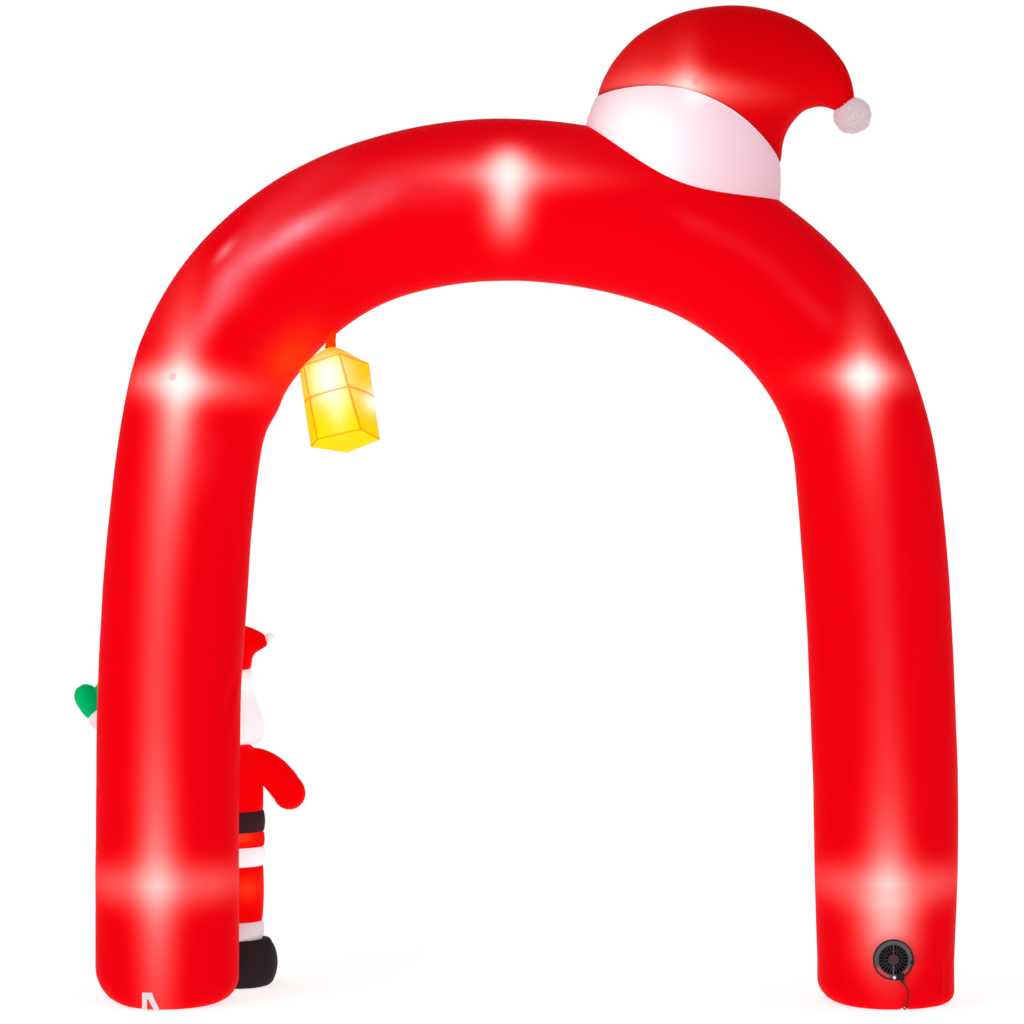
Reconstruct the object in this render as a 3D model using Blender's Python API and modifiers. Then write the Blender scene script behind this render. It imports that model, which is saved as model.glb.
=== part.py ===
"""Inflatable garden arch with a giant hat, a hanging lantern and a standing festive figure.

Units are metres and +Z is up. The arch is seen from its blower side, with +X to the right
and +Y away from the viewer, towards the figure. Every size below is in the arch's own frame,
whose XZ plane runs through the middle of the tube; one empty moves the whole thing so that
its footprint is centred on the origin.
"""

import math
from collections import namedtuple

import bmesh
import bpy
from mathutils import Matrix, Vector

# ---------------------------------------------------------------- driving dimensions
GAP = 0.0003  # left between pieces that touch
FOOTPRINT_CENTRE = (0.0085, 0.1997)  # of the arch's own frame

# The tube: its middle line and half width, from the left foot over the crown to the right foot.
Station = namedtuple("Station", "x z half_width")
ARCH_LINE = (
    Station(-1.036, 0.125, 0.219),
    Station(-1.036, 0.45, 0.219),
    Station(-1.031, 0.90, 0.219),
    Station(-1.0165, 1.19, 0.2215),
    Station(-0.994, 1.49, 0.219),
    Station(-0.957, 1.76, 0.219),
    Station(-0.903, 1.935, 0.2315),
    Station(-0.807, 2.095, 0.2415),
    Station(-0.683, 2.227, 0.244),
    Station(-0.537, 2.33, 0.245),
    Station(-0.373, 2.40, 0.246),
    Station(-0.165, 2.446, 0.247),
    Station(0.046, 2.456, 0.248),
    Station(0.275, 2.430, 0.245),
    Station(0.462, 2.380, 0.239),
    Station(0.627, 2.313, 0.233),
    Station(0.778, 2.215, 0.227),
    Station(0.912, 2.090, 0.222),
    Station(1.014, 1.937, 0.215),
    Station(1.080, 1.763, 0.213),
    Station(1.112, 1.58, 0.218),
    Station(1.138, 1.28, 0.2215),
    Station(1.157, 0.915, 0.222),
    Station(1.165, 0.68, 0.2215),
    Station(1.167, 0.40, 0.2185),
    Station(1.166, 0.125, 0.209),
)
LEG_HALF_DEPTH = 0.215
CROWN_HALF_DEPTH = 0.226
CROWN_FROM_Z = 1.70  # the tube starts to deepen here
CROWN_FULL_Z = 2.20
TUBE_SIDES = 28
# Radius of the round edge between a leg and its flat base, at its left, its right and its near side.
Foot = namedtuple("Foot", "left right near")
LEFT_FOOT = Foot(0.110, 0.080, 0.035)
RIGHT_FOOT = Foot(0.075, 0.036, 0.035)
FOOT_STEPS = 5

# The hat: outline points of each section, and how far its near and far edges rise above it.
HatRow = namedtuple("HatRow", "left_x left_z right_x right_z half_depth rise")
HAT_BAND = (
    HatRow(0.212, 2.566, 0.838, 2.330, 0.188, -0.015),
    HatRow(0.236, 2.650, 0.840, 2.430, 0.192, 0.015),
    HatRow(0.257, 2.716, 0.842, 2.505, 0.198, 0.055),
    HatRow(0.278, 2.771, 0.842, 2.570, 0.202, 0.092),
)
HAT_CROWN = (
    HatRow(0.278, 2.771, 0.842, 2.570, 0.202, 0.092),
    HatRow(0.305, 2.836, 0.848, 2.620, 0.206, 0.062),
    HatRow(0.346, 2.900, 0.859, 2.656, 0.206, 0.036),
    HatRow(0.416, 2.968, 0.874, 2.684, 0.200, 0.016),
    HatRow(0.530, 3.027, 0.893, 2.708, 0.188, 0.0),
    HatRow(0.664, 3.050, 0.914, 2.728, 0.170, 0.0),
    HatRow(0.777, 3.045, 0.936, 2.738, 0.148, 0.0),
    HatRow(0.880, 3.014, 0.960, 2.743, 0.122, 0.0),
    HatRow(0.962, 2.962, 0.985, 2.741, 0.097, 0.0),
    HatRow(1.031, 2.887, 1.008, 2.733, 0.070, 0.0),
    HatRow(1.060, 2.825, 1.020, 2.727, 0.048, 0.0),
    HatRow(1.070, 2.768, 1.032, 2.718, 0.026, 0.0),
)
HAT_POMPOM_AT = (1.065, 0.0, 2.716)
HAT_POMPOM_RADIUS = 0.058
HAT_SIDES = 24

# The lantern: a tapering five-sided box that hangs askew, with a low pitched roof.
Corner = namedtuple("Corner", "top_x top_y base_x base_y")  # from its nearest corner
LANTERN_CORNERS = (
    Corner(0.000, 0.000, 0.000, 0.000),
    Corner(0.085, 0.112, 0.052, 0.112),
    Corner(-0.030, 0.200, -0.052, 0.212),
    Corner(-0.126, 0.122, -0.158, 0.131),
    Corner(-0.112, 0.085, -0.135, 0.064),
)
LANTERN_TOP = (-0.501, -0.180, 1.979)
LANTERN_BASE = (-0.432, -0.240, 1.747)
LANTERN_LEAN = (0.077, -0.290)  # how the top and the base rise towards +X and +Y
LANTERN_PEAK = (-0.532, -0.070, 2.0045)
LANTERN_BULGE = 0.014
WIDE_SIDE = 0.14  # a side at least this wide bulges in full
WAIST_SHARE = 0.25  # the seam round the middle takes this much off the bulge
WAIST_REACH = 0.08  # of the lantern's height
BASE_SAG = 0.006
INNER_SCALE = 0.5  # of the ring halfway in on the base and on the roof
PEAK_SCALE = 0.12
LANTERN_LEVELS = 6
LANTERN_SIDE_STEPS = 4
ROOF_CLEARANCE = 1.004  # the hanger is cut off by the lantern at this scale
HANGER_RADIUS = 0.012
HANGER_TOP = (-0.528, -0.060, 2.060)
HANGER_REACH = 0.012  # past the roof's peak, before the roof cuts it off
HANGER_FLARE_AT = 0.030
HANGER_FLARES = (1.25, 1.0, 1.1, 1.5)  # of its radius, from the roof up
HANGER_INTO_TUBE = 0.010

# The figure: elliptic sections up its middle line.
Ring = namedtuple("Ring", "z half_width half_depth shift")
FIGURE_X = -0.965
FIGURE_Y = 0.3667
LEG_SPREAD = 0.100  # from the figure's middle line to that of a leg
FIGURE_BOOT = (
    Ring(0.0, 0.094, 0.122, 0.030),
    Ring(0.012, 0.107, 0.140, 0.031),
    Ring(0.040, 0.116, 0.153, 0.032),
    Ring(0.073, 0.119, 0.152, 0.030),
    Ring(0.110, 0.114, 0.133, 0.019),
    Ring(0.138, 0.103, 0.112, 0.006),
    Ring(0.1493, 0.096, 0.100, 0.0),
)
BOOT_OUTSET = 0.0195  # a boot's middle is this much further out than its leg's
FIGURE_CUFF = (
    Ring(0.1496, 0.096, 0.104, 0.0),
    Ring(0.178, 0.0985, 0.110, 0.0),
    Ring(0.2063, 0.097, 0.105, 0.0),
)
FIGURE_LEG = (
    Ring(0.2066, 0.095, 0.103, 0.0),
    Ring(0.250, 0.097, 0.108, 0.0),
    Ring(0.320, 0.098, 0.112, 0.0),
    Ring(0.3815, 0.097, 0.111, 0.0),
)
FIGURE_TRIM = (
    Ring(0.3818, 0.199, 0.140, 0.0),
    Ring(0.411, 0.205, 0.147, 0.0),
    Ring(0.4415, 0.200, 0.143, 0.0),
)
FIGURE_SKIRT = (
    Ring(0.4418, 0.199, 0.142, 0.0),
    Ring(0.465, 0.200, 0.146, 0.0),
    Ring(0.4893, 0.198, 0.146, 0.0),
)
FIGURE_BELT = (
    Ring(0.4896, 0.199, 0.148, 0.0),
    Ring(0.523, 0.202, 0.153, 0.0),
    Ring(0.5560, 0.198, 0.152, 0.0),
)
FIGURE_COAT = (
    Ring(0.5563, 0.197, 0.151, 0.0),
    Ring(0.600, 0.196, 0.160, 0.004),
    Ring(0.650, 0.195, 0.164, 0.005),
    Ring(0.700, 0.189, 0.160, 0.004),
    Ring(0.735, 0.178, 0.148, 0.0),
    Ring(0.7625, 0.158, 0.128, 0.0),
)
FIGURE_HEAD = (
    Ring(0.7630, 0.172, 0.126, 0.0),
    Ring(0.775, 0.188, 0.138, 0.0),
    Ring(0.800, 0.198, 0.146, 0.0),
    Ring(0.835, 0.196, 0.150, 0.0),
    Ring(0.870, 0.184, 0.148, 0.0),
    Ring(0.905, 0.170, 0.142, 0.0),
    Ring(0.9465, 0.157, 0.134, 0.0),
)
FACE_SPLIT = 0.030  # the face panel starts this far in front of the head's middle
HEAD_FRONT = 0.160  # the face panel's reach in front of the head's middle
NOSE_FRONT = 0.1718
NOSE_Z = 0.893
NOSE_RADIUS = 0.017
BEARD_FRONT = 0.1961
FIGURE_BEARD = (
    Ring(0.655, 0.030, 0.016, 0.0),
    Ring(0.675, 0.074, 0.028, 0.0),
    Ring(0.715, 0.112, 0.034, 0.0),
    Ring(0.765, 0.135, 0.036, 0.0),
    Ring(0.810, 0.136, 0.036, 0.0),
    Ring(0.845, 0.112, 0.030, 0.0),
    Ring(0.862, 0.070, 0.018, 0.0),
)
FIGURE_HAT_BAND = (
    Ring(0.9468, 0.158, 0.135, 0.0),
    Ring(0.974, 0.165, 0.143, 0.0),
    Ring(1.0010, 0.158, 0.137, 0.0),
)
SMALL_HAT = (
    HatRow(-1.121, 1.0013, -0.808, 1.0013, 0.134, 0.0),
    HatRow(-1.108, 1.040, -0.805, 1.020, 0.126, 0.0),
    HatRow(-1.068, 1.080, -0.8035, 1.034, 0.112, 0.0),
    HatRow(-1.000, 1.116, -0.800, 1.044, 0.094, 0.0),
    HatRow(-0.915, 1.135, -0.794, 1.052, 0.074, 0.0),
    HatRow(-0.835, 1.139, -0.785, 1.059, 0.054, 0.0),
    HatRow(-0.780, 1.121, -0.772, 1.066, 0.034, 0.0),
    HatRow(-0.752, 1.098, -0.754, 1.078, 0.012, 0.0),
)
SMALL_POMPOM_AT = (-0.748, FIGURE_Y, 1.100)
SMALL_POMPOM_RADIUS = 0.017

# Limbs: a round section for each point of a path, whose Y is from the figure's middle.
Joint = namedtuple("Joint", "x y z radius")
SLEEVE_RIGHT = (
    Joint(-0.860, 0.000, 0.694, 0.046),
    Joint(-0.800, 0.002, 0.704, 0.049),
    Joint(-0.742, 0.006, 0.676, 0.051),
    Joint(-0.696, 0.018, 0.622, 0.051),
    Joint(-0.689, 0.056, 0.603, 0.050),
    Joint(-0.698, 0.101, 0.612, 0.046),
    Joint(-0.710, 0.141, 0.626, 0.043),
)
WRIST_RIGHT = (
    Joint(-0.708, 0.136, 0.624, 0.041),
    Joint(-0.716, 0.161, 0.634, 0.050),
    Joint(-0.722, 0.181, 0.642, 0.045),
)
SLEEVE_LEFT = (
    Joint(-1.065, 0.000, 0.680, 0.046),
    Joint(-1.125, 0.002, 0.692, 0.049),
    Joint(-1.195, 0.006, 0.735, 0.050),
    Joint(-1.238, 0.008, 0.793, 0.047),
    Joint(-1.260, 0.008, 0.834, 0.043),
)
WRIST_LEFT = (
    Joint(-1.256, 0.008, 0.829, 0.041),
    Joint(-1.2765, 0.008, 0.8545, 0.049),
    Joint(-1.2930, 0.008, 0.8750, 0.042),
)
# A mitten is a palm, the fingers' pad and a thumb: place along and across the hand, and radii.
Pad = namedtuple("Pad", "along across half_length half_width half_thick")
MITTEN = (
    Pad(0.024, 0.000, 0.030, 0.036, 0.032),
    Pad(0.056, -0.004, 0.040, 0.040, 0.034),
    Pad(0.036, 0.036, 0.030, 0.021, 0.021),
)
MITTEN_START = 0.0005  # a hand starts this far past its cuff

# The stake loop: webbing sewn to the left leg, laid out flat as X and length down the leg.
STRAP_THICK = 0.0016
STRAP_TOP_Z = 0.0555
STRAP_BEND = 0.005
STRAP_OUTLINE = (
    (-1.091, 0.0),
    (-1.061, 0.0),
    (-1.055, 0.018),
    (-1.040, 0.048),
    (-1.040, 0.066),
    (-1.091, 0.066),
)
STRAP_HOLE = ((-1.0765, 0.020), (-1.0725, 0.020), (-1.0560, 0.050), (-1.0560, 0.0545), (-1.0765, 0.0545))

# Round cloth patches that hold a lamp to the fabric.
PATCH_RADIUS = 0.0115
PATCH_THICK = 0.0015
Patch = namedtuple("Patch", "name x y z lean_x lean_z")  # a lean is the face's slope towards +X or +Z
PATCHES = (
    Patch("light_patch_bend", -0.999, -0.2033, 1.906, -0.300, 0.080),
    Patch("light_patch_hat", 0.574, -0.2040, 2.794, -0.070, -0.070),
)

# The blower in the right leg.
BLOWER_X = 1.167
BLOWER_Z = 0.154
SEAT_Y = -0.2062  # floor of the round seat that the cloth is drawn into
SEAT_RADIUS = 0.0705
SEAT_SIDES = 40
CUT_BEYOND = 0.002  # the hole for the housing is this much deeper than the housing
RIM_OUTER = 0.0615
RIM_INNER = 0.0572
FLANGE_OUTER = 0.0569
FLANGE_INNER = 0.0452
FLANGE_THICK = 0.0040
FLANGE_WINDOWS = ((206.0, 258.0), (294.0, 328.0))  # degrees, open at the flange's edge
WINDOW_INNER = 0.0482
WHOLE_RING = (0, 352.5, 47)  # a full circle's start, end and steps for an arc
HOUSING_RADIUS = 0.0451
HOUSING_WALL = 0.0018
HOUSING_DEPTH = 0.072
HOUSING_FLOOR = 0.003
GRILLE_RADIUS = 0.0449
GRILLE_THICK = 0.0020
HUB_RADIUS = 0.0160
HUB_THICK = 0.0022
HUB_EDGE = 0.0006
BAR_GAP = 0.0006  # from the hub to the channel and the rib
BAR_END_GAP = 0.0015
Bar = namedtuple("Bar", "name width thick edge side")
GRILLE_BARS = (
    Bar("blower_channel", 0.0052, 0.0022, 0.0005, -1),
    Bar("blower_rib", 0.0026, 0.0016, 0.0003, 1),
)
SlotRow = namedtuple("SlotRow", "inner outer count share")
GRILLE_SLOTS = (SlotRow(0.0176, 0.0242, 12, 0.72), SlotRow(0.0264, 0.0428, 24, 0.60))
MOTOR_RADIUS = 0.015
MOTOR_LENGTH = 0.026
SHAFT_RADIUS = 0.0020
FAN_RADIUS = 0.0385
FAN_HUB = 0.0090
FAN_BLADES = 9
FAN_DEPTH = 0.016
FAN_PLATE = 0.0016
FAN_OFF_MOTOR = 0.0008
FAN_OVERLAP = 0.0006  # how far the hub and the blades reach into the wheel's plate
FAN_BLADE_THICK = 0.0014
FAN_BLADE_LEAN = 12.0  # degrees
FAN_BLADE_INSET = 0.001
SHAFT_PROUD = 0.0015
BUTTON_AT = (1.1700, 0.1010)
BUTTON_RADIUS = 0.0054
BUTTON_THICK = 0.0040
BUTTON_EDGE = 0.0012
TAB_AT = (1.2240, 0.1460)
TAB_SIZE = (0.0110, 0.0040, 0.0090)
TAB_EDGE = 0.0008
GLAND_AT = (1.1880, 0.1035)
GLAND_SIZE = (0.0230, 0.0100, 0.0210)
GLAND_EDGE = 0.0015

# The cord: where it leaves the gland's relief, then on over the cloth and under the leg.
CORD_RADIUS = 0.0020
CORD_ROUTE = (
    (1.2032, -0.2174, 0.0745),
    (1.2070, -0.2177, 0.0685),
    (1.2110, -0.2184, 0.0570),
    (1.2120, -0.2190, 0.0440),
    (1.2100, -0.2190, 0.0300),
    (1.2068, -0.2153, 0.0162),
    (1.2038, -0.2052, 0.0061),
    (1.2024, -0.1914, 0.0026),
    (1.2020, -0.1500, 0.0024),
    (1.2020, -0.0500, 0.0024),
    (1.2020, 0.0500, 0.0024),
    (1.2020, 0.1500, 0.0024),
    (1.2040, 0.2100, 0.0024),
    (1.2090, 0.2550, 0.0024),
    (1.2130, 0.3050, 0.0045),
)
COIL_AT = (1.1900, 0.3250)
COIL_MIDDLE_RADIUS = 0.0230
COIL_HALF_WIDTH = 0.0062
COIL_HEIGHT = 0.0124
COIL_SIDES = 10
TAIL_ROUTE = (
    (1.1745, 0.3505, 0.0060),
    (1.1640, 0.3580, 0.0045),
    (1.1480, 0.3650, 0.0045),
    (1.1300, 0.3680, 0.0085),
    (1.1107, 0.3680, 0.0120),
)
PLUG_AT = (1.0920, 0.3680, 0.0120)
PLUG_SIZE = (0.0360, 0.0300, 0.0234)
PIN_LENGTH = 0.0175
PIN_RADIUS = 0.0024
PIN_SPREAD = 0.0080
PLUG_EDGE = 0.003
RELIEF_LENGTH = 0.0208
RELIEF_SEAT = 0.004  # the relief's square end lies this much further back
GROOVE_X = CORD_ROUTE[8][0]
GROOVE_RADIUS = 0.0065
GROOVE_REACH = 0.3

RED = (0.78, 0.004, 0.012)
WHITE = (0.86, 0.82, 0.84)


# ---------------------------------------------------------------- scene, materials
def clear_scene():
    for obj in list(bpy.data.objects):
        bpy.data.objects.remove(obj, do_unlink=True)


def make_collection(name):
    collection = bpy.data.collections.new(name)
    bpy.context.scene.collection.children.link(collection)
    return collection


def make_material(name, colour, roughness=0.5, metallic=0.0):
    material = bpy.data.materials.new(name)
    material.use_nodes = True
    shader = material.node_tree.nodes["Principled BSDF"]
    shader.inputs["Base Color"].default_value = (*colour, 1.0)
    shader.inputs["Roughness"].default_value = roughness
    shader.inputs["Metallic"].default_value = metallic
    material.diffuse_color = (*colour, 1.0)
    return material


def add_object(name, mesh, material, smooth=40.0):
    """A part from a mesh, shaded smooth up to an angle in degrees."""
    obj = bpy.data.objects.new(name, mesh)
    mesh.shade_smooth()
    mesh.set_sharp_from_angle(angle=math.radians(smooth))
    mesh.materials.append(material)
    PARTS.objects.link(obj)
    obj.parent = STAND
    return obj


def make_cutter(obj):
    """Turns a part into a helper that only cuts or joins another."""
    PARTS.objects.unlink(obj)
    CUTTERS.objects.link(obj)
    obj.hide_render = True
    obj.display_type = "WIRE"
    return obj


def combine(obj, other, operation="DIFFERENCE"):
    modifier = obj.modifiers.new(f"{operation.lower()} {other.name}", "BOOLEAN")
    modifier.operation = operation
    modifier.solver = "EXACT"
    modifier.object = other


# ---------------------------------------------------------------- shapes
def face_outwards(bm):
    bmesh.ops.recalc_face_normals(bm, faces=bm.faces)
    if bm.calc_volume(signed=True) < 0:
        bmesh.ops.reverse_faces(bm, faces=bm.faces)


def mesh_of(name, bm):
    face_outwards(bm)
    mesh = bpy.data.meshes.new(name)
    bm.to_mesh(mesh)
    bm.free()
    return mesh


def smooth_rows(rows, steps):
    """The rows with others between them, on a smooth curve through all of them."""
    kind = type(rows[0])
    make = kind._make if hasattr(kind, "_make") else kind
    found = []
    for i in range(len(rows) - 1):
        before = rows[max(i - 1, 0)]
        after = rows[min(i + 2, len(rows) - 1)]
        for step in range(steps):
            t = step / steps
            weights = (
                -0.5 * t + t * t - 0.5 * t**3,
                1.0 - 2.5 * t * t + 1.5 * t**3,
                0.5 * t + 2.0 * t * t - 1.5 * t**3,
                -0.5 * t * t + 0.5 * t**3,
            )
            four = (before, rows[i], rows[i + 1], after)
            columns = range(len(rows[0]))
            found.append(make(sum(w * row[k] for w, row in zip(weights, four)) for k in columns))
    found.append(rows[-1])
    return found


def ellipse(centre, across, deep, half_width, half_depth, sides, lift=None):
    """Points round an ellipse; lift raises its near and far edges along a direction."""
    points = []
    for i in range(sides):
        angle = 2 * math.pi * i / sides
        point = centre + across * (half_width * math.cos(angle)) + deep * (half_depth * math.sin(angle))
        if lift is not None:
            point = point + lift * math.sin(angle) ** 2
        points.append(point)
    return points


def loft(name, rings, material, smooth=40.0):
    """A closed skin over rings of equal count, with a fan of faces over each end."""
    bm = bmesh.new()
    rows = [[bm.verts.new(point) for point in ring] for ring in rings]
    count = len(rows[0])
    for lower, upper in zip(rows[:-1], rows[1:]):
        for i in range(count):
            j = (i + 1) % count
            bm.faces.new((lower[i], lower[j], upper[j], upper[i]))
    for row in (rows[0], rows[-1]):
        middle = bm.verts.new(sum((vert.co for vert in row), Vector()) / count)
        for i in range(count):
            bm.faces.new((row[i], row[(i + 1) % count], middle))
    return add_object(name, mesh_of(name, bm), material, smooth)


def upright(name, rows, centre, material, sides=24, steps=1, grow=0.0):
    """A body of elliptic sections up a vertical line; grow enlarges it all round."""
    across = Vector((1, 0, 0))
    deep = Vector((0, 1, 0))
    rings = []
    rows = [rows[0]._replace(z=rows[0].z - grow), *rows[1:-1], rows[-1]._replace(z=rows[-1].z + grow)]
    for row in smooth_rows(rows, steps):
        middle = Vector((centre[0], centre[1] + row.shift, row.z))
        rings.append(ellipse(middle, across, deep, row.half_width + grow, row.half_depth + grow, sides))
    return loft(name, rings, material)


def limb(name, rows, material, sides=14, steps=2, grow=0.0):
    """A body of round sections along a path; grow enlarges it all round."""
    rows = smooth_rows(rows, steps)
    points = [Vector(row[:3]) for row in rows]
    across = Vector((0, 1, 0))
    last = len(points) - 1
    rings = []
    for i, (row, point) in enumerate(zip(rows, points)):
        along = (points[min(i + 1, last)] - points[max(i - 1, 0)]).normalized()
        across = (across - along * across.dot(along)).normalized()
        point = point + along * grow * ((i == last) - (i == 0))
        rings.append(ellipse(point, across, along.cross(across), row.radius + grow, row.radius + grow, sides))
    return loft(name, rings, material)


def ball(name, centre, radius, material, sides=18, scale=(1, 1, 1), turn=None):
    bm = bmesh.new()
    bmesh.ops.create_uvsphere(bm, u_segments=sides, v_segments=sides // 2 + 1, radius=radius)
    matrix = Matrix.Diagonal((*scale, 1))
    if turn is not None:
        matrix = turn.to_4x4() @ matrix
    bmesh.ops.transform(bm, matrix=Matrix.Translation(centre) @ matrix, verts=bm.verts)
    return add_object(name, mesh_of(name, bm), material)


def facing_disc(name, x, z, back_y, radius, thick, material, sides=24, bevel=0.0):
    """A disc that faces the viewer, with its back at back_y."""
    bm = bmesh.new()
    bmesh.ops.create_cone(bm, segments=sides, radius1=radius, radius2=radius, depth=thick, cap_ends=True)
    turned = Matrix.Rotation(math.radians(90), 4, "X")
    bmesh.ops.transform(bm, matrix=turned, verts=bm.verts)
    obj = add_object(name, mesh_of(name, bm), material)
    obj.location = (x, back_y - thick / 2, z)
    if bevel:
        add_bevel(obj, bevel)
    return obj


def box(name, centre, size, material, bevel=0.0):
    bm = bmesh.new()
    bmesh.ops.create_cube(bm, size=1.0)
    bmesh.ops.scale(bm, vec=size, verts=bm.verts)
    obj = add_object(name, mesh_of(name, bm), material)
    obj.location = centre
    if bevel:
        add_bevel(obj, bevel)
    return obj


def add_bevel(obj, width, segments=1):
    modifier = obj.modifiers.new("rounded edges", "BEVEL")
    modifier.width = width
    modifier.segments = segments
    modifier.limit_method = "ANGLE"


def turned(name, profile, material, steps=32):
    """A body turned about its own Z axis from a profile that runs down its outer side."""
    bm = bmesh.new()
    verts = [bm.verts.new((radius, 0.0, z)) for radius, z in profile]
    for first, second in zip(verts, verts[1:] + verts[:1]):
        if first.co.x > 0 or second.co.x > 0:
            bm.edges.new((first, second))
    mesh = bpy.data.meshes.new(name)
    bm.to_mesh(mesh)
    bm.free()
    obj = add_object(name, mesh, material)
    screw = obj.modifiers.new("turned", "SCREW")
    screw.steps = steps
    screw.render_steps = steps
    screw.use_merge_vertices = True
    screw.merge_threshold = 0.00001
    screw.use_smooth_shade = True
    return obj


def arc(radius, start, end, steps):
    """Points on an arc about the origin, in degrees."""
    points = []
    for i in range(steps + 1):
        angle = math.radians(start + (end - start) * i / steps)
        points.append((radius * math.cos(angle), radius * math.sin(angle)))
    return points


def plate(name, outlines, thick, material):
    """A flat plate in its own XY plane from an outer outline and any holes in it."""
    curve = bpy.data.curves.new(name, "CURVE")
    curve.dimensions = "2D"
    curve.fill_mode = "BOTH"
    curve.extrude = thick / 2
    for outline in outlines:
        spline = curve.splines.new("POLY")
        spline.points.add(len(outline) - 1)
        for point, (x, y) in zip(spline.points, outline):
            point.co = (x, y, 0.0, 1.0)
        spline.use_cyclic_u = True
    guide = bpy.data.objects.new(name + " outline", curve)
    CUTTERS.objects.link(guide)
    bpy.context.view_layer.update()
    mesh = bpy.data.meshes.new_from_object(guide.evaluated_get(bpy.context.evaluated_depsgraph_get()))
    bpy.data.objects.remove(guide, do_unlink=True)
    bm = bmesh.new()
    bm.from_mesh(mesh)
    bpy.data.meshes.remove(mesh)
    bmesh.ops.remove_doubles(bm, verts=bm.verts, dist=0.00001)
    return add_object(name, mesh_of(name, bm), material)


def cord_tube(name, route, radius, material, steps):
    """A round cord along a smooth curve through its route's points."""
    curve = bpy.data.curves.new(name, "CURVE")
    curve.dimensions = "3D"
    curve.bevel_depth = radius
    curve.bevel_resolution = 2
    curve.use_fill_caps = True
    points = smooth_rows(route, steps)
    spline = curve.splines.new("POLY")
    spline.points.add(len(points) - 1)
    for point, place in zip(spline.points, points):
        point.co = (*place, 1.0)
    curve.materials.append(material)
    obj = bpy.data.objects.new(name, curve)
    PARTS.objects.link(obj)
    obj.parent = STAND
    return obj


# ---------------------------------------------------------------- the arch
def tube_half_depth(z):
    share = min(max((z - CROWN_FROM_Z) / (CROWN_FULL_Z - CROWN_FROM_Z), 0.0), 1.0)
    share = share * share * (3 - 2 * share)
    return LEG_HALF_DEPTH + (CROWN_HALF_DEPTH - LEG_HALF_DEPTH) * share


def foot_rings(station, foot, outward, half_depth):
    """Rings from the flat of a leg's base up its round edge."""
    rings = []
    for step in range(FOOT_STEPS + 1):
        turn = 0.5 * math.pi * step / FOOT_STEPS
        ring = []
        for i in range(TUBE_SIDES):
            angle = 2 * math.pi * i / TUBE_SIDES
            side = outward * math.cos(angle)
            radius = foot.near + ((foot.right if side > 0 else foot.left) - foot.near) * side * side
            inset = radius * (1 - math.sin(turn))
            x = station.x + (station.half_width - inset) * side
            y = (half_depth - inset) * math.sin(angle)
            ring.append(Vector((x, y, radius * (1 - math.cos(turn)))))
        rings.append(ring)
    return rings


def arch_rings(steps=2, grow=0.0):
    """Elliptic sections square to the tube's middle line, from the left leg to the right one."""
    rows = smooth_rows(ARCH_LINE, steps)
    points = [Vector((row.x, 0.0, row.z)) for row in rows]
    rings = []
    for i, (row, point) in enumerate(zip(rows, points)):
        along = (points[min(i + 1, len(points) - 1)] - points[max(i - 1, 0)]).normalized()
        if i in (0, len(points) - 1):
            along = Vector((0, 0, 1 if i == 0 else -1))
        outward = Vector((-along.z, 0, along.x))
        half_depth = tube_half_depth(row.z) + grow
        rings.append(ellipse(point, outward, Vector((0, 1, 0)), row.half_width + grow, half_depth, TUBE_SIDES))
    return rings


def make_arch():
    left_foot = foot_rings(ARCH_LINE[0], LEFT_FOOT, -1, LEG_HALF_DEPTH)
    right_foot = foot_rings(ARCH_LINE[-1], RIGHT_FOOT, 1, LEG_HALF_DEPTH)
    rings = left_foot + arch_rings() + right_foot[::-1]
    arch = loft("arch_tube", rings, make_material("red polyester", RED, 0.42), smooth=60.0)
    where = (BLOWER_X, BLOWER_Z)
    cut_depth = HOUSING_DEPTH + CUT_BEYOND
    proud = 2 * SEAT_RADIUS - LEG_HALF_DEPTH - SEAT_Y
    seat = facing_disc("seat cutter", *where, SEAT_Y, SEAT_RADIUS, proud, CUTTER_FINISH, SEAT_SIDES)
    hole_radius = HOUSING_RADIUS + GAP
    hole_back = SEAT_Y + cut_depth
    hole = facing_disc(
        "housing cutter", *where, hole_back, hole_radius, 2 * cut_depth, CUTTER_FINISH, SEAT_SIDES
    )
    reach = GROOVE_REACH
    groove = facing_disc(
        "cord groove cutter", GROOVE_X, 0.0, reach, GROOVE_RADIUS, 2 * reach, CUTTER_FINISH, 16
    )
    for cutter in (seat, hole, groove):
        combine(arch, make_cutter(cutter))
    return arch


# ---------------------------------------------------------------- the hat
def hat_rings(rows, y, sides, steps, offset=0.0):
    """Sections of a hat, each between its left and its right outline point."""
    rings = []
    for row in smooth_rows(rows, steps):
        left = Vector((row.left_x, y, row.left_z))
        right = Vector((row.right_x, y, row.right_z))
        across = (right - left).normalized()
        upward = Vector((-across.z, 0, across.x))
        centre = (left + right) / 2 + upward * offset
        half_width = (right - left).length / 2
        rings.append(
            ellipse(centre, across, Vector((0, 1, 0)), half_width, row.half_depth, sides, upward * row.rise)
        )
    return rings


def make_hat():
    white = make_material("white polyester", WHITE, 0.5)
    band = loft("hat_band", hat_rings(HAT_BAND, 0.0, HAT_SIDES, 2), white, smooth=60.0)
    tube = loft("tube cutter", arch_rings(2, GAP * 1.5), CUTTER_FINISH)
    combine(band, make_cutter(tube))
    deep_red = make_material("deep red polyester", (0.66, 0.003, 0.01), 0.42)
    crown = loft("hat_crown", hat_rings(HAT_CROWN, 0.0, HAT_SIDES, 2, GAP), deep_red, smooth=60.0)
    centre = Vector(HAT_POMPOM_AT)
    hollow = ball("pompom cutter", centre, HAT_POMPOM_RADIUS + GAP, CUTTER_FINISH, 16)
    combine(crown, make_cutter(hollow))
    fleece = make_material("grey white fleece", (0.68, 0.60, 0.63), 0.9)
    ball("hat_pompom", centre, HAT_POMPOM_RADIUS, fleece, 16)


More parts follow.
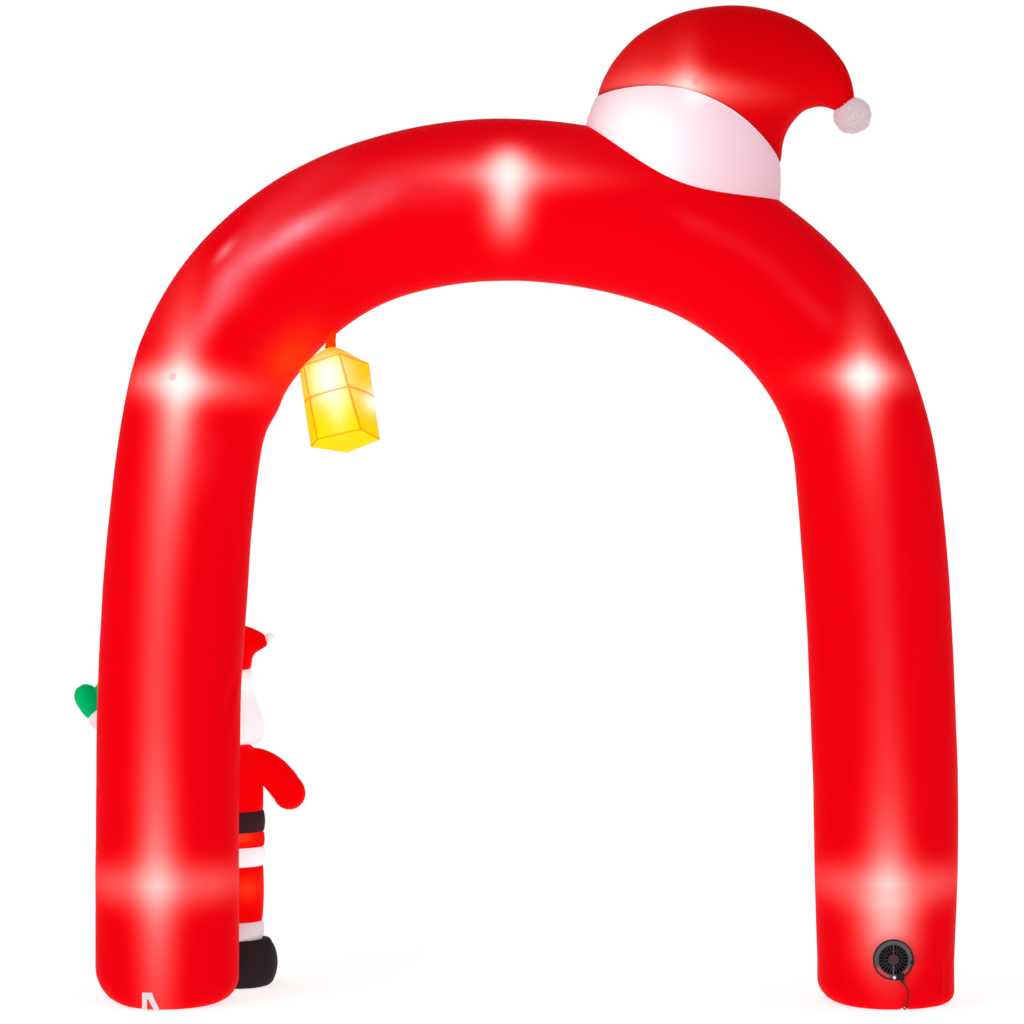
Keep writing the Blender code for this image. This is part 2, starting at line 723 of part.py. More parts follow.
# ---------------------------------------------------------------- the lantern
def lantern_ring(level, scale=1.0, middle=None):
    """The lantern's outline at a level from 0 at its base to 1 at its top, drawn in towards a middle."""
    start = Vector(LANTERN_BASE).lerp(Vector(LANTERN_TOP), level)
    corners = []
    for corner in LANTERN_CORNERS:
        x = corner.base_x + (corner.top_x - corner.base_x) * level
        y = corner.base_y + (corner.top_y - corner.base_y) * level
        corners.append(start + Vector((x, y, x * LANTERN_LEAN[0] + y * LANTERN_LEAN[1])))
    waist = 1.0 - WAIST_SHARE * math.exp(-(((level - 0.5) / WAIST_REACH) ** 2))
    ring = []
    for i, corner in enumerate(corners):
        side = corners[(i + 1) % len(corners)] - corner
        outward = Vector((side.y, -side.x, 0)).normalized()
        for step in range(LANTERN_SIDE_STEPS):
            share = step / LANTERN_SIDE_STEPS
            swell = LANTERN_BULGE * math.sin(math.pi * share) * math.sin(math.pi * level) * waist
            ring.append(corner + side * share + outward * swell * min(side.length / WIDE_SIDE, 1.0))
    if middle is not None:
        ring = [middle + (point - middle) * scale for point in ring]
    return ring


def make_lantern():
    """Blown-up panels between straight edges, and the gathered cloth that the roof hangs by."""
    base = lantern_ring(0.0)
    base_middle = sum(base, Vector()) / len(base) - Vector((0, 0, BASE_SAG))
    peak = Vector(LANTERN_PEAK)
    rings = [lantern_ring(0.0, INNER_SCALE, base_middle)]
    rings += [lantern_ring(i / LANTERN_LEVELS) for i in range(LANTERN_LEVELS + 1)]
    rings += [lantern_ring(1.0, scale, peak) for scale in (INNER_SCALE, PEAK_SCALE)]
    yellow = make_material("yellow polyester", (0.95, 0.62, 0.02), 0.45)
    lantern = loft("lantern_body", rings, yellow, smooth=30.0)
    top = Vector(HANGER_TOP)
    up = (top - peak).normalized()
    places = (
        peak - up * HANGER_REACH,
        peak + up * HANGER_REACH,
        peak + up * HANGER_FLARE_AT,
        top + up * HANGER_INTO_TUBE,
    )
    rows = [Joint(*place, HANGER_RADIUS * flare) for place, flare in zip(places, HANGER_FLARES)]
    orange = make_material("orange red polyester", (0.86, 0.07, 0.01), 0.5)
    hanger = limb("lantern_hanger", rows, orange, sides=14, steps=2)
    roof = add_object("roof cutter", lantern.data.copy(), CUTTER_FINISH)
    centre = Matrix.Translation((peak + base_middle) / 2)
    roof.data.transform(centre @ Matrix.Scale(ROOF_CLEARANCE, 4) @ centre.inverted())
    combine(hanger, make_cutter(roof))
    combine(hanger, CUTTERS.objects["tube cutter"])


# ---------------------------------------------------------------- the figure
def half_head(name, front, material):
    """The front or the back of the head, as a D-shaped section up its middle line."""
    sides = 12
    rings = []
    for row in FIGURE_HEAD:
        split = FACE_SPLIT + GAP if front else FACE_SPLIT
        reach = HEAD_FRONT - (0.150 - row.half_depth) - split if front else -(row.half_depth + split)
        width = row.half_width * (0.80 if front else 1.0)
        centre = Vector((FIGURE_X, FIGURE_Y + split, row.z))
        ring = []
        for i in range(sides + 1):
            angle = math.pi * i / sides
            ring.append(centre + Vector((width * math.cos(angle), reach * math.sin(angle), 0)))
        for i in range(1, 4):
            ring.append(centre + Vector((width * (-1 + 2 * i / 4), 0, 0)))
        rings.append(ring)
    return loft(name, rings, material)


def make_mitten(name, cuff, thumb_side, material):
    """Palm, fingers and thumb blown up as one bag, along the line of the cuff."""
    end = Vector(cuff[-1][:3])
    along = (end - Vector(cuff[-2][:3])).normalized()
    across = (thumb_side - along * thumb_side.dot(along)).normalized()
    turn = Matrix((along, across, along.cross(across))).transposed()
    pads = []
    for i, pad in enumerate(MITTEN):
        centre = end + along * (pad.along + MITTEN_START) + across * pad.across
        radii = (pad.half_length, pad.half_width, pad.half_thick)
        pads.append(ball(name if i == 0 else f"{name} pad {i}", centre, 1.0, material, 12, radii, turn))
    for pad in pads[1:]:
        combine(pads[0], make_cutter(pad), "UNION")
    wrist = limb(f"{name} wrist cutter", cuff, CUTTER_FINISH, steps=1, grow=GAP * 1.5)
    combine(pads[0], make_cutter(wrist))
    return pads[0]


def in_figure(rows):
    return tuple(row._replace(y=row.y + FIGURE_Y) for row in rows)


def make_arm(side, sleeve_rows, wrist_rows, thumb_side, materials):
    """A sleeve cut off at the coat, a cuff cut off at the sleeve, and a mitten cut off at the cuff."""
    sleeve_rows = in_figure(sleeve_rows)
    wrist_rows = in_figure(wrist_rows)
    sleeve = limb(f"figure_sleeve_{side}", sleeve_rows, materials[0])
    combine(sleeve, CUTTERS.objects["coat cutter"])
    wrist = limb(f"figure_wrist_{side}", wrist_rows, materials[1], steps=1)
    sleeve_cutter = limb(f"sleeve cutter {side}", sleeve_rows, CUTTER_FINISH, grow=GAP)
    combine(wrist, make_cutter(sleeve_cutter))
    make_mitten(f"figure_mitten_{side}", wrist_rows, thumb_side, materials[2])


def make_figure():
    red = make_material("figure red", RED, 0.45)
    white = make_material("figure white", WHITE, 0.5)
    black = make_material("boot black", (0.02, 0.016, 0.017), 0.4)
    brown = make_material("belt black", (0.05, 0.02, 0.03), 0.4)
    green = make_material("mitten green", (0.0, 0.42, 0.10), 0.45)
    skin = make_material("face", (0.80, 0.47, 0.33), 0.55)
    middle = (FIGURE_X, FIGURE_Y)
    for side, sign in (("left", -1), ("right", 1)):
        leg = (FIGURE_X + sign * LEG_SPREAD, FIGURE_Y)
        boot = (leg[0] + sign * BOOT_OUTSET, FIGURE_Y)
        upright(f"figure_boot_{side}", FIGURE_BOOT, boot, black, sides=20)
        upright(f"figure_cuff_{side}", FIGURE_CUFF, leg, white, sides=18)
        upright(f"figure_leg_{side}", FIGURE_LEG, leg, red, sides=18)
    upright("figure_trim", FIGURE_TRIM, middle, white, sides=24)
    upright("figure_skirt", FIGURE_SKIRT, middle, red, sides=24)
    upright("figure_belt", FIGURE_BELT, middle, brown, sides=24)
    upright("figure_coat", FIGURE_COAT, middle, red, sides=24)
    make_cutter(upright("coat cutter", FIGURE_COAT, middle, CUTTER_FINISH, sides=24, grow=GAP * 1.5))
    make_arm("left", SLEEVE_LEFT, WRIST_LEFT, Vector((1, 0, 0)), (red, white, green))
    make_arm("right", SLEEVE_RIGHT, WRIST_RIGHT, Vector((-0.3, 0, 1)), (red, white, green))
    half_head("figure_hair", False, white)
    half_head("figure_face", True, skin)
    upright("figure_beard", FIGURE_BEARD, (FIGURE_X, FIGURE_Y + BEARD_FRONT), white, sides=16)
    ball("figure_nose", Vector((FIGURE_X, FIGURE_Y + NOSE_FRONT, NOSE_Z)), NOSE_RADIUS, skin, 12)
    upright("figure_hat_band", FIGURE_HAT_BAND, middle, white, sides=24)
    small_hat = loft("figure_hat", hat_rings(SMALL_HAT, FIGURE_Y, 20, 1), red)
    centre = Vector(SMALL_POMPOM_AT)
    hollow = ball("small pompom cutter", centre, SMALL_POMPOM_RADIUS + GAP, CUTTER_FINISH, 12)
    combine(small_hat, make_cutter(hollow))
    ball("figure_hat_pompom", centre, SMALL_POMPOM_RADIUS, white, 12)


# ---------------------------------------------------------------- small fittings
def leg_front(x):
    """Y of the left leg's near side at x, above its round edge."""
    station = ARCH_LINE[0]
    share = (x - station.x) / station.half_width
    return -LEG_HALF_DEPTH * math.sqrt(1 - share * share)


def make_stake_loop():
    """Webbing laid out flat, then hung down the leg and tucked back along the ground."""
    webbing = make_material("webbing", WHITE, 0.7)
    strap = plate("stake_loop", (STRAP_OUTLINE, STRAP_HOLE), STRAP_THICK, webbing)
    mesh = strap.data
    bm = bmesh.new()
    bm.from_mesh(mesh)
    hang = STRAP_TOP_Z - STRAP_BEND - 0.0005
    turn = STRAP_BEND * math.pi / 2
    for i in range(5):
        place = hang + turn * i / 4
        geometry = bm.verts[:] + bm.edges[:] + bm.faces[:]
        bmesh.ops.bisect_plane(bm, geom=geometry, plane_co=(0, place, 0), plane_no=(0, 1, 0))
    for vert in bm.verts:
        x, down, height = vert.co
        front = leg_front(x) - GAP * 2 - STRAP_THICK / 2 - height
        if down <= hang:
            vert.co = (x, front, STRAP_TOP_Z - down)
            continue
        angle = min((down - hang) / STRAP_BEND, math.pi / 2)
        beyond = max(down - hang - turn, 0.0)
        radius = STRAP_BEND + height - STRAP_THICK / 2
        y = leg_front(x) - GAP * 2 - STRAP_THICK / 2 + STRAP_BEND - radius * math.cos(angle) + beyond
        vert.co = (x, y - STRAP_THICK / 2, STRAP_TOP_Z - hang - radius * math.sin(angle))
    face_outwards(bm)
    bm.to_mesh(mesh)
    bm.free()


def make_patches():
    lilac = make_material("lamp patch", (0.80, 0.36, 0.40), 0.6)
    for patch in PATCHES:
        outward = Vector((patch.lean_x, -1.0, patch.lean_z)).normalized()
        disc = facing_disc(patch.name, 0, 0, 0, PATCH_RADIUS, PATCH_THICK, lilac, 16)
        disc.location = Vector((patch.x, patch.y, patch.z)) + outward * (GAP + PATCH_THICK / 2)
        disc.rotation_euler = Vector((0, -1, 0)).rotation_difference(outward).to_euler()


# ---------------------------------------------------------------- the blower
def flange_outline():
    """The flange's outer edge, with an open window between each pair of angles."""
    points = []
    at = FLANGE_WINDOWS[-1][1] - 360
    for start, end in FLANGE_WINDOWS:
        steps = max(int(abs(start - at) / 10), 2)
        points += arc(FLANGE_OUTER, at, start, steps)
        points += arc(WINDOW_INNER, start, end, 5)
        at = end
    return points


def slot_outline(row, index):
    pitch = 360.0 / row.count
    start = pitch * (index + (1 - row.share) / 2)
    end = start + pitch * row.share
    steps = 2 if row.count > 16 else 3
    return arc(row.outer, start, end, steps) + arc(row.inner, end, start, steps)


def stand_up(obj, x, y, z):
    """Turns a flat plate up to face the viewer, with its middle at the given place."""
    obj.rotation_euler = (math.radians(90), 0, 0)
    obj.location = (x, y, z)


def make_blower():
    grey = make_material("grey plastic", (0.10, 0.09, 0.095), 0.45)
    black = make_material("black plastic", (0.015, 0.014, 0.015), 0.4)
    steel = make_material("steel", (0.55, 0.55, 0.57), 0.35, 1.0)
    x, z = BLOWER_X, BLOWER_Z
    plate_y = SEAT_Y - GAP - FLANGE_THICK / 2
    rings = (arc(RIM_OUTER, *WHOLE_RING), arc(RIM_INNER, *WHOLE_RING))
    rim = plate("blower_rim", rings, FLANGE_THICK, black)
    stand_up(rim, x, plate_y, z)
    flange = plate("blower_flange", (flange_outline(), arc(FLANGE_INNER, *WHOLE_RING)), FLANGE_THICK, grey)
    stand_up(flange, x, plate_y, z)
    slots = [slot_outline(row, i) for row in GRILLE_SLOTS for i in range(row.count)]
    grille = plate("blower_grille", [arc(GRILLE_RADIUS, *WHOLE_RING)] + slots, GRILLE_THICK, grey)
    housing_front = SEAT_Y
    grille_y = housing_front - GAP - GRILLE_THICK / 2
    stand_up(grille, x, grille_y, z)
    make_housing(x, z, housing_front, black)
    make_fan(x, z, housing_front + HOUSING_DEPTH - HOUSING_FLOOR, black, steel)
    bar_y = grille_y - GRILLE_THICK / 2 - GAP
    facing_disc("blower_hub", x, z, bar_y, HUB_RADIUS, HUB_THICK, grey, 24, HUB_EDGE)
    length = GRILLE_RADIUS - HUB_RADIUS - BAR_END_GAP
    middle = HUB_RADIUS + BAR_GAP + length / 2
    for bar in GRILLE_BARS:
        centre = (x, bar_y - bar.thick / 2, z + bar.side * middle)
        box(bar.name, centre, (bar.width, bar.thick, length), grey, bar.edge)
    front_y = SEAT_Y - GAP - FLANGE_THICK - GAP
    box("blower_tab", (TAB_AT[0], front_y - TAB_SIZE[1] / 2, TAB_AT[1]), TAB_SIZE, black, TAB_EDGE)
    white = make_material("white plastic", (0.85, 0.85, 0.86), 0.35)
    facing_disc("blower_button", *BUTTON_AT, front_y, BUTTON_RADIUS, BUTTON_THICK, white, 14, BUTTON_EDGE)
    return front_y


def make_housing(x, z, front, material):
    """The cup that the fan turns in, open towards the viewer."""
    inner = HOUSING_RADIUS - HOUSING_WALL
    floor = HOUSING_DEPTH - HOUSING_FLOOR
    profile = (
        (HOUSING_RADIUS, 0.0),
        (HOUSING_RADIUS, -HOUSING_DEPTH),
        (0.0, -HOUSING_DEPTH),
        (0.0, -floor),
        (inner, -floor),
        (inner, 0.0),
    )
    housing = turned("blower_housing", profile, material)
    housing.rotation_euler = (math.radians(90), 0, 0)
    housing.location = (x, front, z)


def make_fan(x, z, floor_y, plastic, steel):
    """A motor on the housing's floor, its shaft, and the bladed wheel that runs on the shaft."""
    motor_back = floor_y - GAP
    motor_front = motor_back - MOTOR_LENGTH
    shaft_front = motor_front - FAN_DEPTH - FAN_PLATE - SHAFT_PROUD
    profile = (
        (0.0, motor_back - shaft_front),
        (SHAFT_RADIUS, motor_back - shaft_front),
        (SHAFT_RADIUS, motor_back - motor_front),
        (MOTOR_RADIUS, motor_back - motor_front),
        (MOTOR_RADIUS, 0.0),
        (0.0, 0.0),
    )
    motor = turned("blower_motor", profile, steel, 20)
    motor.rotation_euler = (math.radians(90), 0, 0)
    motor.location = (x, motor_back, z)
    plate_back = motor_front - FAN_OFF_MOTOR
    blades_y = plate_back - FAN_PLATE + FAN_OVERLAP - FAN_DEPTH / 2
    bore = SHAFT_RADIUS + GAP
    wheel = plate("fan_wheel", (arc(FAN_RADIUS, 0, 345, 23), arc(bore, 0, 330, 11)), FAN_PLATE, plastic)
    stand_up(wheel, x, plate_back - FAN_PLATE / 2, z)
    hub = plate("fan hub", (arc(FAN_HUB, 0, 340, 17), arc(bore, 0, 330, 11)), FAN_DEPTH, plastic)
    stand_up(hub, x, blades_y, z)
    combine(wheel, make_cutter(hub), "UNION")
    for i in range(FAN_BLADES):
        angle = 2 * math.pi * i / FAN_BLADES
        length = FAN_RADIUS - FAN_HUB + 2 * FAN_BLADE_INSET
        blade = box(f"fan blade {i}", (0, 0, 0), (length, FAN_DEPTH, FAN_BLADE_THICK), plastic)
        blade.rotation_euler = (0, math.radians(FAN_BLADE_LEAN) - angle, 0)
        reach = (FAN_HUB + FAN_RADIUS) / 2 - 1.5 * FAN_BLADE_INSET
        blade.location = (x + reach * math.cos(angle), blades_y, z + reach * math.sin(angle))
        combine(wheel, make_cutter(blade), "UNION")


# ---------------------------------------------------------------- the cord
def make_cord(front_y):
    rubber = make_material("cord rubber", (0.03, 0.03, 0.032), 0.5)
    brass = make_material("pin metal", (0.75, 0.68, 0.45), 0.3, 1.0)
    centre = (GLAND_AT[0], front_y - GLAND_SIZE[1] / 2, GLAND_AT[1])
    box("cord_gland", centre, GLAND_SIZE, rubber, GLAND_EDGE)
    end = Vector(CORD_ROUTE[0])
    aim = (Vector(CORD_ROUTE[1]) - end).normalized()
    start = end - aim * RELIEF_LENGTH
    rows = (
        Joint(*(start - aim * RELIEF_SEAT), CORD_RADIUS * 1.9),
        Joint(*start, CORD_RADIUS * 1.8),
        Joint(*(end - aim * GAP), CORD_RADIUS * 1.15),
    )
    relief = limb("cord_relief", rows, rubber, sides=12, steps=1)
    around = box("gland cutter", centre, tuple(size + 2 * GAP for size in GLAND_SIZE), CUTTER_FINISH)
    combine(relief, make_cutter(around))
    cord_tube("cord_run", CORD_ROUTE, CORD_RADIUS, rubber, 4)
    profile = []
    for i in range(COIL_SIDES):
        angle = -2 * math.pi * i / COIL_SIDES
        radius = COIL_MIDDLE_RADIUS + COIL_HALF_WIDTH * math.cos(angle)
        profile.append((radius, GAP * 2 + COIL_HEIGHT / 2 * (1 + math.sin(angle))))
    coil = turned("cord_coil", profile, rubber, 24)
    coil.location = (COIL_AT[0], COIL_AT[1], 0)
    cord_tube("cord_tail", TAIL_ROUTE, CORD_RADIUS, rubber, 3)
    box("cord_plug", PLUG_AT, PLUG_SIZE, rubber, PLUG_EDGE)
    end_x = PLUG_AT[0] - PLUG_SIZE[0] / 2 - GAP
    for i, side in enumerate((-1, 1)):
        bm = bmesh.new()
        radii = {"radius1": PIN_RADIUS, "radius2": PIN_RADIUS}
        bmesh.ops.create_cone(bm, segments=12, depth=PIN_LENGTH, cap_ends=True, **radii)
        pin = add_object(f"cord_pin_{i + 1}", mesh_of("pin", bm), brass)
        pin.rotation_euler = (0, math.radians(90), 0)
        pin.location = (end_x - PIN_LENGTH / 2, PLUG_AT[1] + side * PIN_SPREAD, PLUG_AT[2])


def main():
    make_arch()
    make_hat()
    make_lantern()
    make_figure()
    make_stake_loop()
    make_patches()
    make_cord(make_blower())


clear_scene()
PARTS = make_collection("inflatable arch")
CUTTERS = make_collection("cutters")
CUTTER_FINISH = make_material("cutter", (0.5, 0.5, 0.5))
STAND = bpy.data.objects.new("stand", None)
STAND.location = (-FOOTPRINT_CENTRE[0], -FOOTPRINT_CENTRE[1], 0)
PARTS.objects.link(STAND)
main()
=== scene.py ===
"""Finished look of an inflatable garden arch with a giant hat, a lantern and a festive figure.

Units are metres and +Z is up. +X is to the right as seen from the blower's side and +Y is away
from it. Sizes are in the arch's own frame, whose XZ plane runs through the middle of the tube;
each finished mesh is then moved by FOOTPRINT_CENTRE, so that the footprint is centred.
"""
import math
from collections import namedtuple
from contextlib import contextmanager

import bmesh
import bpy
import numpy as np
from bpy.props import FloatProperty, IntProperty, PointerProperty
from mathutils import Matrix, Vector, noise


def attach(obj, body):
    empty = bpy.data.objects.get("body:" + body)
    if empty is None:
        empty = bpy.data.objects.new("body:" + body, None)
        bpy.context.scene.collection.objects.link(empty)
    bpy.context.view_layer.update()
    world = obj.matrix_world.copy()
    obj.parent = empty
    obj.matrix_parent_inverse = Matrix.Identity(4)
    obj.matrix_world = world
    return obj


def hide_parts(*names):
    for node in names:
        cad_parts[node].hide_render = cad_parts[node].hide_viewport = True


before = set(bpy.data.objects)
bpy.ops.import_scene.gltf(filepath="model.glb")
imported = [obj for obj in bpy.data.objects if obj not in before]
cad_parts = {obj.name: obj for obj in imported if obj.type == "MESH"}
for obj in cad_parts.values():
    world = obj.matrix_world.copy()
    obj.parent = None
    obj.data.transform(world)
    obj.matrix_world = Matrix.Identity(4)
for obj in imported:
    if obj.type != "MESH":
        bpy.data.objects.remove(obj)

bl_info = {
    "name": "Inflatable festive arch",
    "version": (1, 0, 0),
    "blender": (4, 5, 0),
    "location": "View3D > Sidebar > Arch",
    "description": "Builds the cloth, lamps, fittings and lead of an inflatable garden arch",
    "category": "Object",
}

FOOTPRINT_CENTRE = (0.0085, 0.1997, 0.0)


def table(kind, *rows, plain=""):
    """Rows with named columns. Lengths are given in millimetres, and plain columns as they are."""
    kept = plain.split()
    return tuple(kind(*(v if n in kept else v / 1000 for n, v in zip(kind._fields, row))) for row in rows)


# ---------------------------------------------------------------- sizes of the arch
# The tube: its middle line and half width, from the left foot over the crown to the right foot.
ARCH_LINE = table(
    namedtuple("Station", "x z half_width"),
    (-1036, 125, 219), (-1036, 450, 219), (-1031, 900, 219), (-1016.5, 1190, 221.5), (-994, 1490, 219),
    (-957, 1760, 219), (-903, 1935, 231.5), (-807, 2095, 241.5), (-683, 2227, 244), (-537, 2330, 245),
    (-373, 2400, 246), (-165, 2446, 247), (46, 2456, 248), (275, 2430, 245), (462, 2380, 239),
    (627, 2313, 233), (778, 2215, 227), (912, 2090, 222), (1014, 1937, 215), (1080, 1763, 213),
    (1112, 1580, 218), (1138, 1280, 221.5), (1157, 915, 222), (1165, 680, 221.5), (1167, 400, 218.5),
    (1166, 125, 209),
)
LEG_HALF_DEPTH = 0.215
CROWN_HALF_DEPTH = 0.226
CROWN_FROM_Z = 1.70
CROWN_FULL_Z = 2.20
Foot = namedtuple("Foot", "left right near")  # radii of the round edge of a flat base
LEFT_FOOT = Foot(0.110, 0.080, 0.035)
RIGHT_FOOT = Foot(0.075, 0.036, 0.035)
FOOT_STEPS = 12
BASE_RINGS = (0.93, 0.82, 0.68, 0.52, 0.36, 0.20, 0.08)  # scales of the rings on a flat base
END_RINGS = (0.94, 0.82, 0.62, 0.36, 0.14)  # and on the flat ends of the figure's pieces
ELBOW_AT = (-0.711, 1.812)
ELBOW_REACH = 0.050
ELBOW_HEIGHT = 0.0085

# Creases of the tube: middle, direction and half length, half width and depth of each soft trough.
# The side is the near one at -1 and the far one at 1; the direction is in degrees up from +X.
CREASES = table(
    namedtuple("Crease", "x z turn length width depth side"),
    (-790, 1905, 28, 55, 10, 6, -1), (-775, 1965, 12, 60, 11, 5.5, -1), (-745, 2010, -8, 50, 10, 5, -1),
    (-800, 1850, 44, 50, 10, 5, -1), (-828, 1790, 58, 45, 10, 3.5, -1), (-720, 2055, -22, 45, 10, 3.5, -1),
    (-838, 930, 78, 70, 10, 4, -1), (-850, 1020, 100, 60, 11, 3, -1), (-1145, 2020, 40, 60, 13, 4, -1),
    (-1150, 1950, 10, 55, 12, 3.5, -1), (885, 1925, 152, 50, 11, 5, -1), (905, 1870, 138, 50, 10, 4.5, -1),
    (850, 1985, 168, 50, 11, 4, -1), (925, 1800, 122, 45, 10, 3.5, -1), (1215, 1990, 150, 55, 12, 3, -1),
    (-1180, 90, 118, 60, 11, 4.5, -1), (-1120, 75, 98, 65, 10, 5, -1), (-1020, 70, 86, 60, 10, 4.5, -1),
    (-950, 80, 74, 65, 11, 5, -1), (-880, 100, 62, 55, 11, 4, -1), (1020, 85, 112, 60, 10, 5, -1),
    (1075, 60, 125, 45, 9, 4.5, -1), (1265, 62, 58, 45, 9, 4.5, -1), (1320, 85, 70, 60, 10, 4.5, -1),
    (-790, 1900, 30, 65, 12, 6, 1), (-760, 1975, 8, 65, 12, 5.5, 1), (-735, 2040, -14, 55, 12, 4.5, 1),
    (890, 1910, 150, 60, 12, 5.5, 1), (860, 1975, 168, 55, 12, 4.5, 1), (-1100, 80, 96, 65, 11, 5, 1),
    (-960, 85, 78, 65, 11, 5, 1), (1080, 80, 100, 65, 11, 5, 1), (1240, 80, 80, 65, 11, 5, 1),
    plain="turn side",
)
CREASE_BEND = 0.9  # how much a crease curves along its length
WAVE_SCALE = 3.1
RIPPLE_SCALE = 9.0
RIPPLE_SHARE = 0.35  # height of the ripples against the waves

# The hat: outline points of each section, and how far its near and far edges rise above it.
HatRow = namedtuple("HatRow", "left_x left_z right_x right_z half_depth rise")
HAT_BAND = table(
    HatRow,
    (212, 2566, 838, 2330, 188, -15), (236, 2650, 840, 2430, 192, 15), (257, 2716, 842, 2505, 198, 55),
    (278, 2771, 842, 2570, 202, 92),
)
HAT_CROWN = table(
    HatRow,
    (278, 2771, 842, 2570, 202, 92), (305, 2836, 848, 2620, 206, 62), (346, 2900, 859, 2656, 206, 36),
    (416, 2968, 874, 2684, 200, 16), (530, 3027, 893, 2708, 188, 0), (664, 3050, 914, 2728, 170, 0),
    (777, 3045, 936, 2738, 148, 0), (880, 3014, 960, 2743, 122, 0), (962, 2962, 985, 2741, 97, 0),
    (1031, 2887, 1008, 2733, 70, 0), (1060, 2825, 1020, 2727, 48, 0), (1070, 2768, 1032, 2718, 26, 0),
)
HAT_POMPOM_AT = (1.065, 0.0, 2.716)
HAT_POMPOM_RADIUS = 0.058
HAT_POMPOM_CORE = 0.93  # of the radius, under the pile

# The lantern: a tapering five-sided box that hangs askew, with a low pitched roof. Its corners
# are measured from the nearest one, and it leans up towards +X and +Y.
LANTERN_CORNERS = table(
    namedtuple("Corner", "top_x top_y base_x base_y"),
    (0, 0, 0, 0), (85, 112, 52, 112), (-30, 200, -52, 212), (-126, 122, -158, 131), (-112, 85, -135, 64),
)
LANTERN_TOP = (-0.501, -0.180, 1.979)
LANTERN_BASE = (-0.432, -0.240, 1.747)
LANTERN_LEAN = (0.077, -0.290)
LANTERN_PEAK = (-0.532, -0.070, 2.0045)
LANTERN_BULGE = 0.014
LANTERN_LEVELS = 48
LANTERN_SIDE_STEPS = 22
LANTERN_MIDDLE = 0.565  # the level of the seam across the sides
LANTERN_END_SCALES = (0.97, 0.90, 0.80, 0.68, 0.54, 0.40, 0.26, 0.12)
WIDE_SIDE = 0.14  # a side at least this wide bulges in full
SEAM_HALF_WIDTH = 0.0036
SEAM_DIP = 0.30  # how much of the bulge the middle seam holds back
EDGE_FOLD = 0.0011
MIDDLE_FOLD = 0.0008
BASE_SAG = 0.006
HANGER_TOP = (-0.528, -0.060, 2.060)
HANGER_RADIUS = 0.012

# The figure: elliptic sections up its middle line, whose Y shift is from the figure's middle.
Ring = namedtuple("Ring", "z half_width half_depth shift", defaults=(0.0,))
FIGURE_AT = (-0.965, 0.3667)
LEG_SPREAD = 0.100
BOOT_OUTSET = 0.0195
BEARD_FRONT = 0.1961
FIGURE = {
    "boot": table(
        Ring,
        (0, 94, 122, 30), (12, 107, 140, 31), (40, 116, 153, 32), (73, 119, 152, 30), (110, 114, 133, 19),
        (138, 103, 112, 6), (149.3, 96, 100),
    ),
    "cuff": table(
        Ring,
        (149.6, 96, 104), (178, 98.5, 110), (206.3, 97, 105),
    ),
    "leg": table(
        Ring,
        (206.6, 95, 103), (250, 97, 108), (320, 98, 112), (381.5, 97, 111),
    ),
    "trim": table(
        Ring,
        (381.8, 199, 140), (411, 205, 147), (441.5, 200, 143),
    ),
    "skirt": table(
        Ring,
        (441.8, 199, 142), (465, 200, 146), (489.3, 198, 146),
    ),
    "belt": table(
        Ring,
        (489.6, 199, 148), (523, 202, 153), (556, 198, 152),
    ),
    "coat": table(
        Ring,
        (556.3, 197, 151), (600, 196, 160, 4), (650, 195, 164, 5), (700, 189, 160, 4), (735, 178, 148),
        (762.5, 158, 128),
    ),
    "beard": table(
        Ring,
        (655, 30, 16), (675, 74, 28), (715, 112, 34), (765, 135, 36), (810, 136, 36), (845, 112, 30),
        (862, 70, 18),
    ),
    "hat_band": table(
        Ring,
        (946.8, 158, 135), (974, 165, 143), (1001, 158, 137),
    ),
}
# The head: its face stands this far before its hair, and is narrower.
FIGURE_HEAD = table(
    Ring,
    (763, 172, 126), (775, 188, 138), (800, 198, 146), (835, 196, 150), (870, 184, 148), (905, 170, 142),
    (946.5, 157, 134),
)
FACE_SPLIT = 0.030
HEAD_FRONT = 0.160
HEAD_HALF_DEPTH = 0.150
FACE_WIDTH_SHARE = 0.80
NOSE_FRONT = 0.1718
NOSE_Z = 0.893
NOSE_RADIUS = 0.017
SMALL_HAT = table(
    HatRow,
    (-1121, 1001.3, -808, 1001.3, 134, 0), (-1108, 1040, -805, 1020, 126, 0),
    (-1068, 1080, -803.5, 1034, 112, 0), (-1000, 1116, -800, 1044, 94, 0), (-915, 1135, -794, 1052, 74, 0),
    (-835, 1139, -785, 1059, 54, 0), (-780, 1121, -772, 1066, 34, 0), (-752, 1098, -754, 1078, 12, 0),
)
SMALL_POMPOM_AT = (-0.748, FIGURE_AT[1], 1.100)
SMALL_POMPOM_RADIUS = 0.017

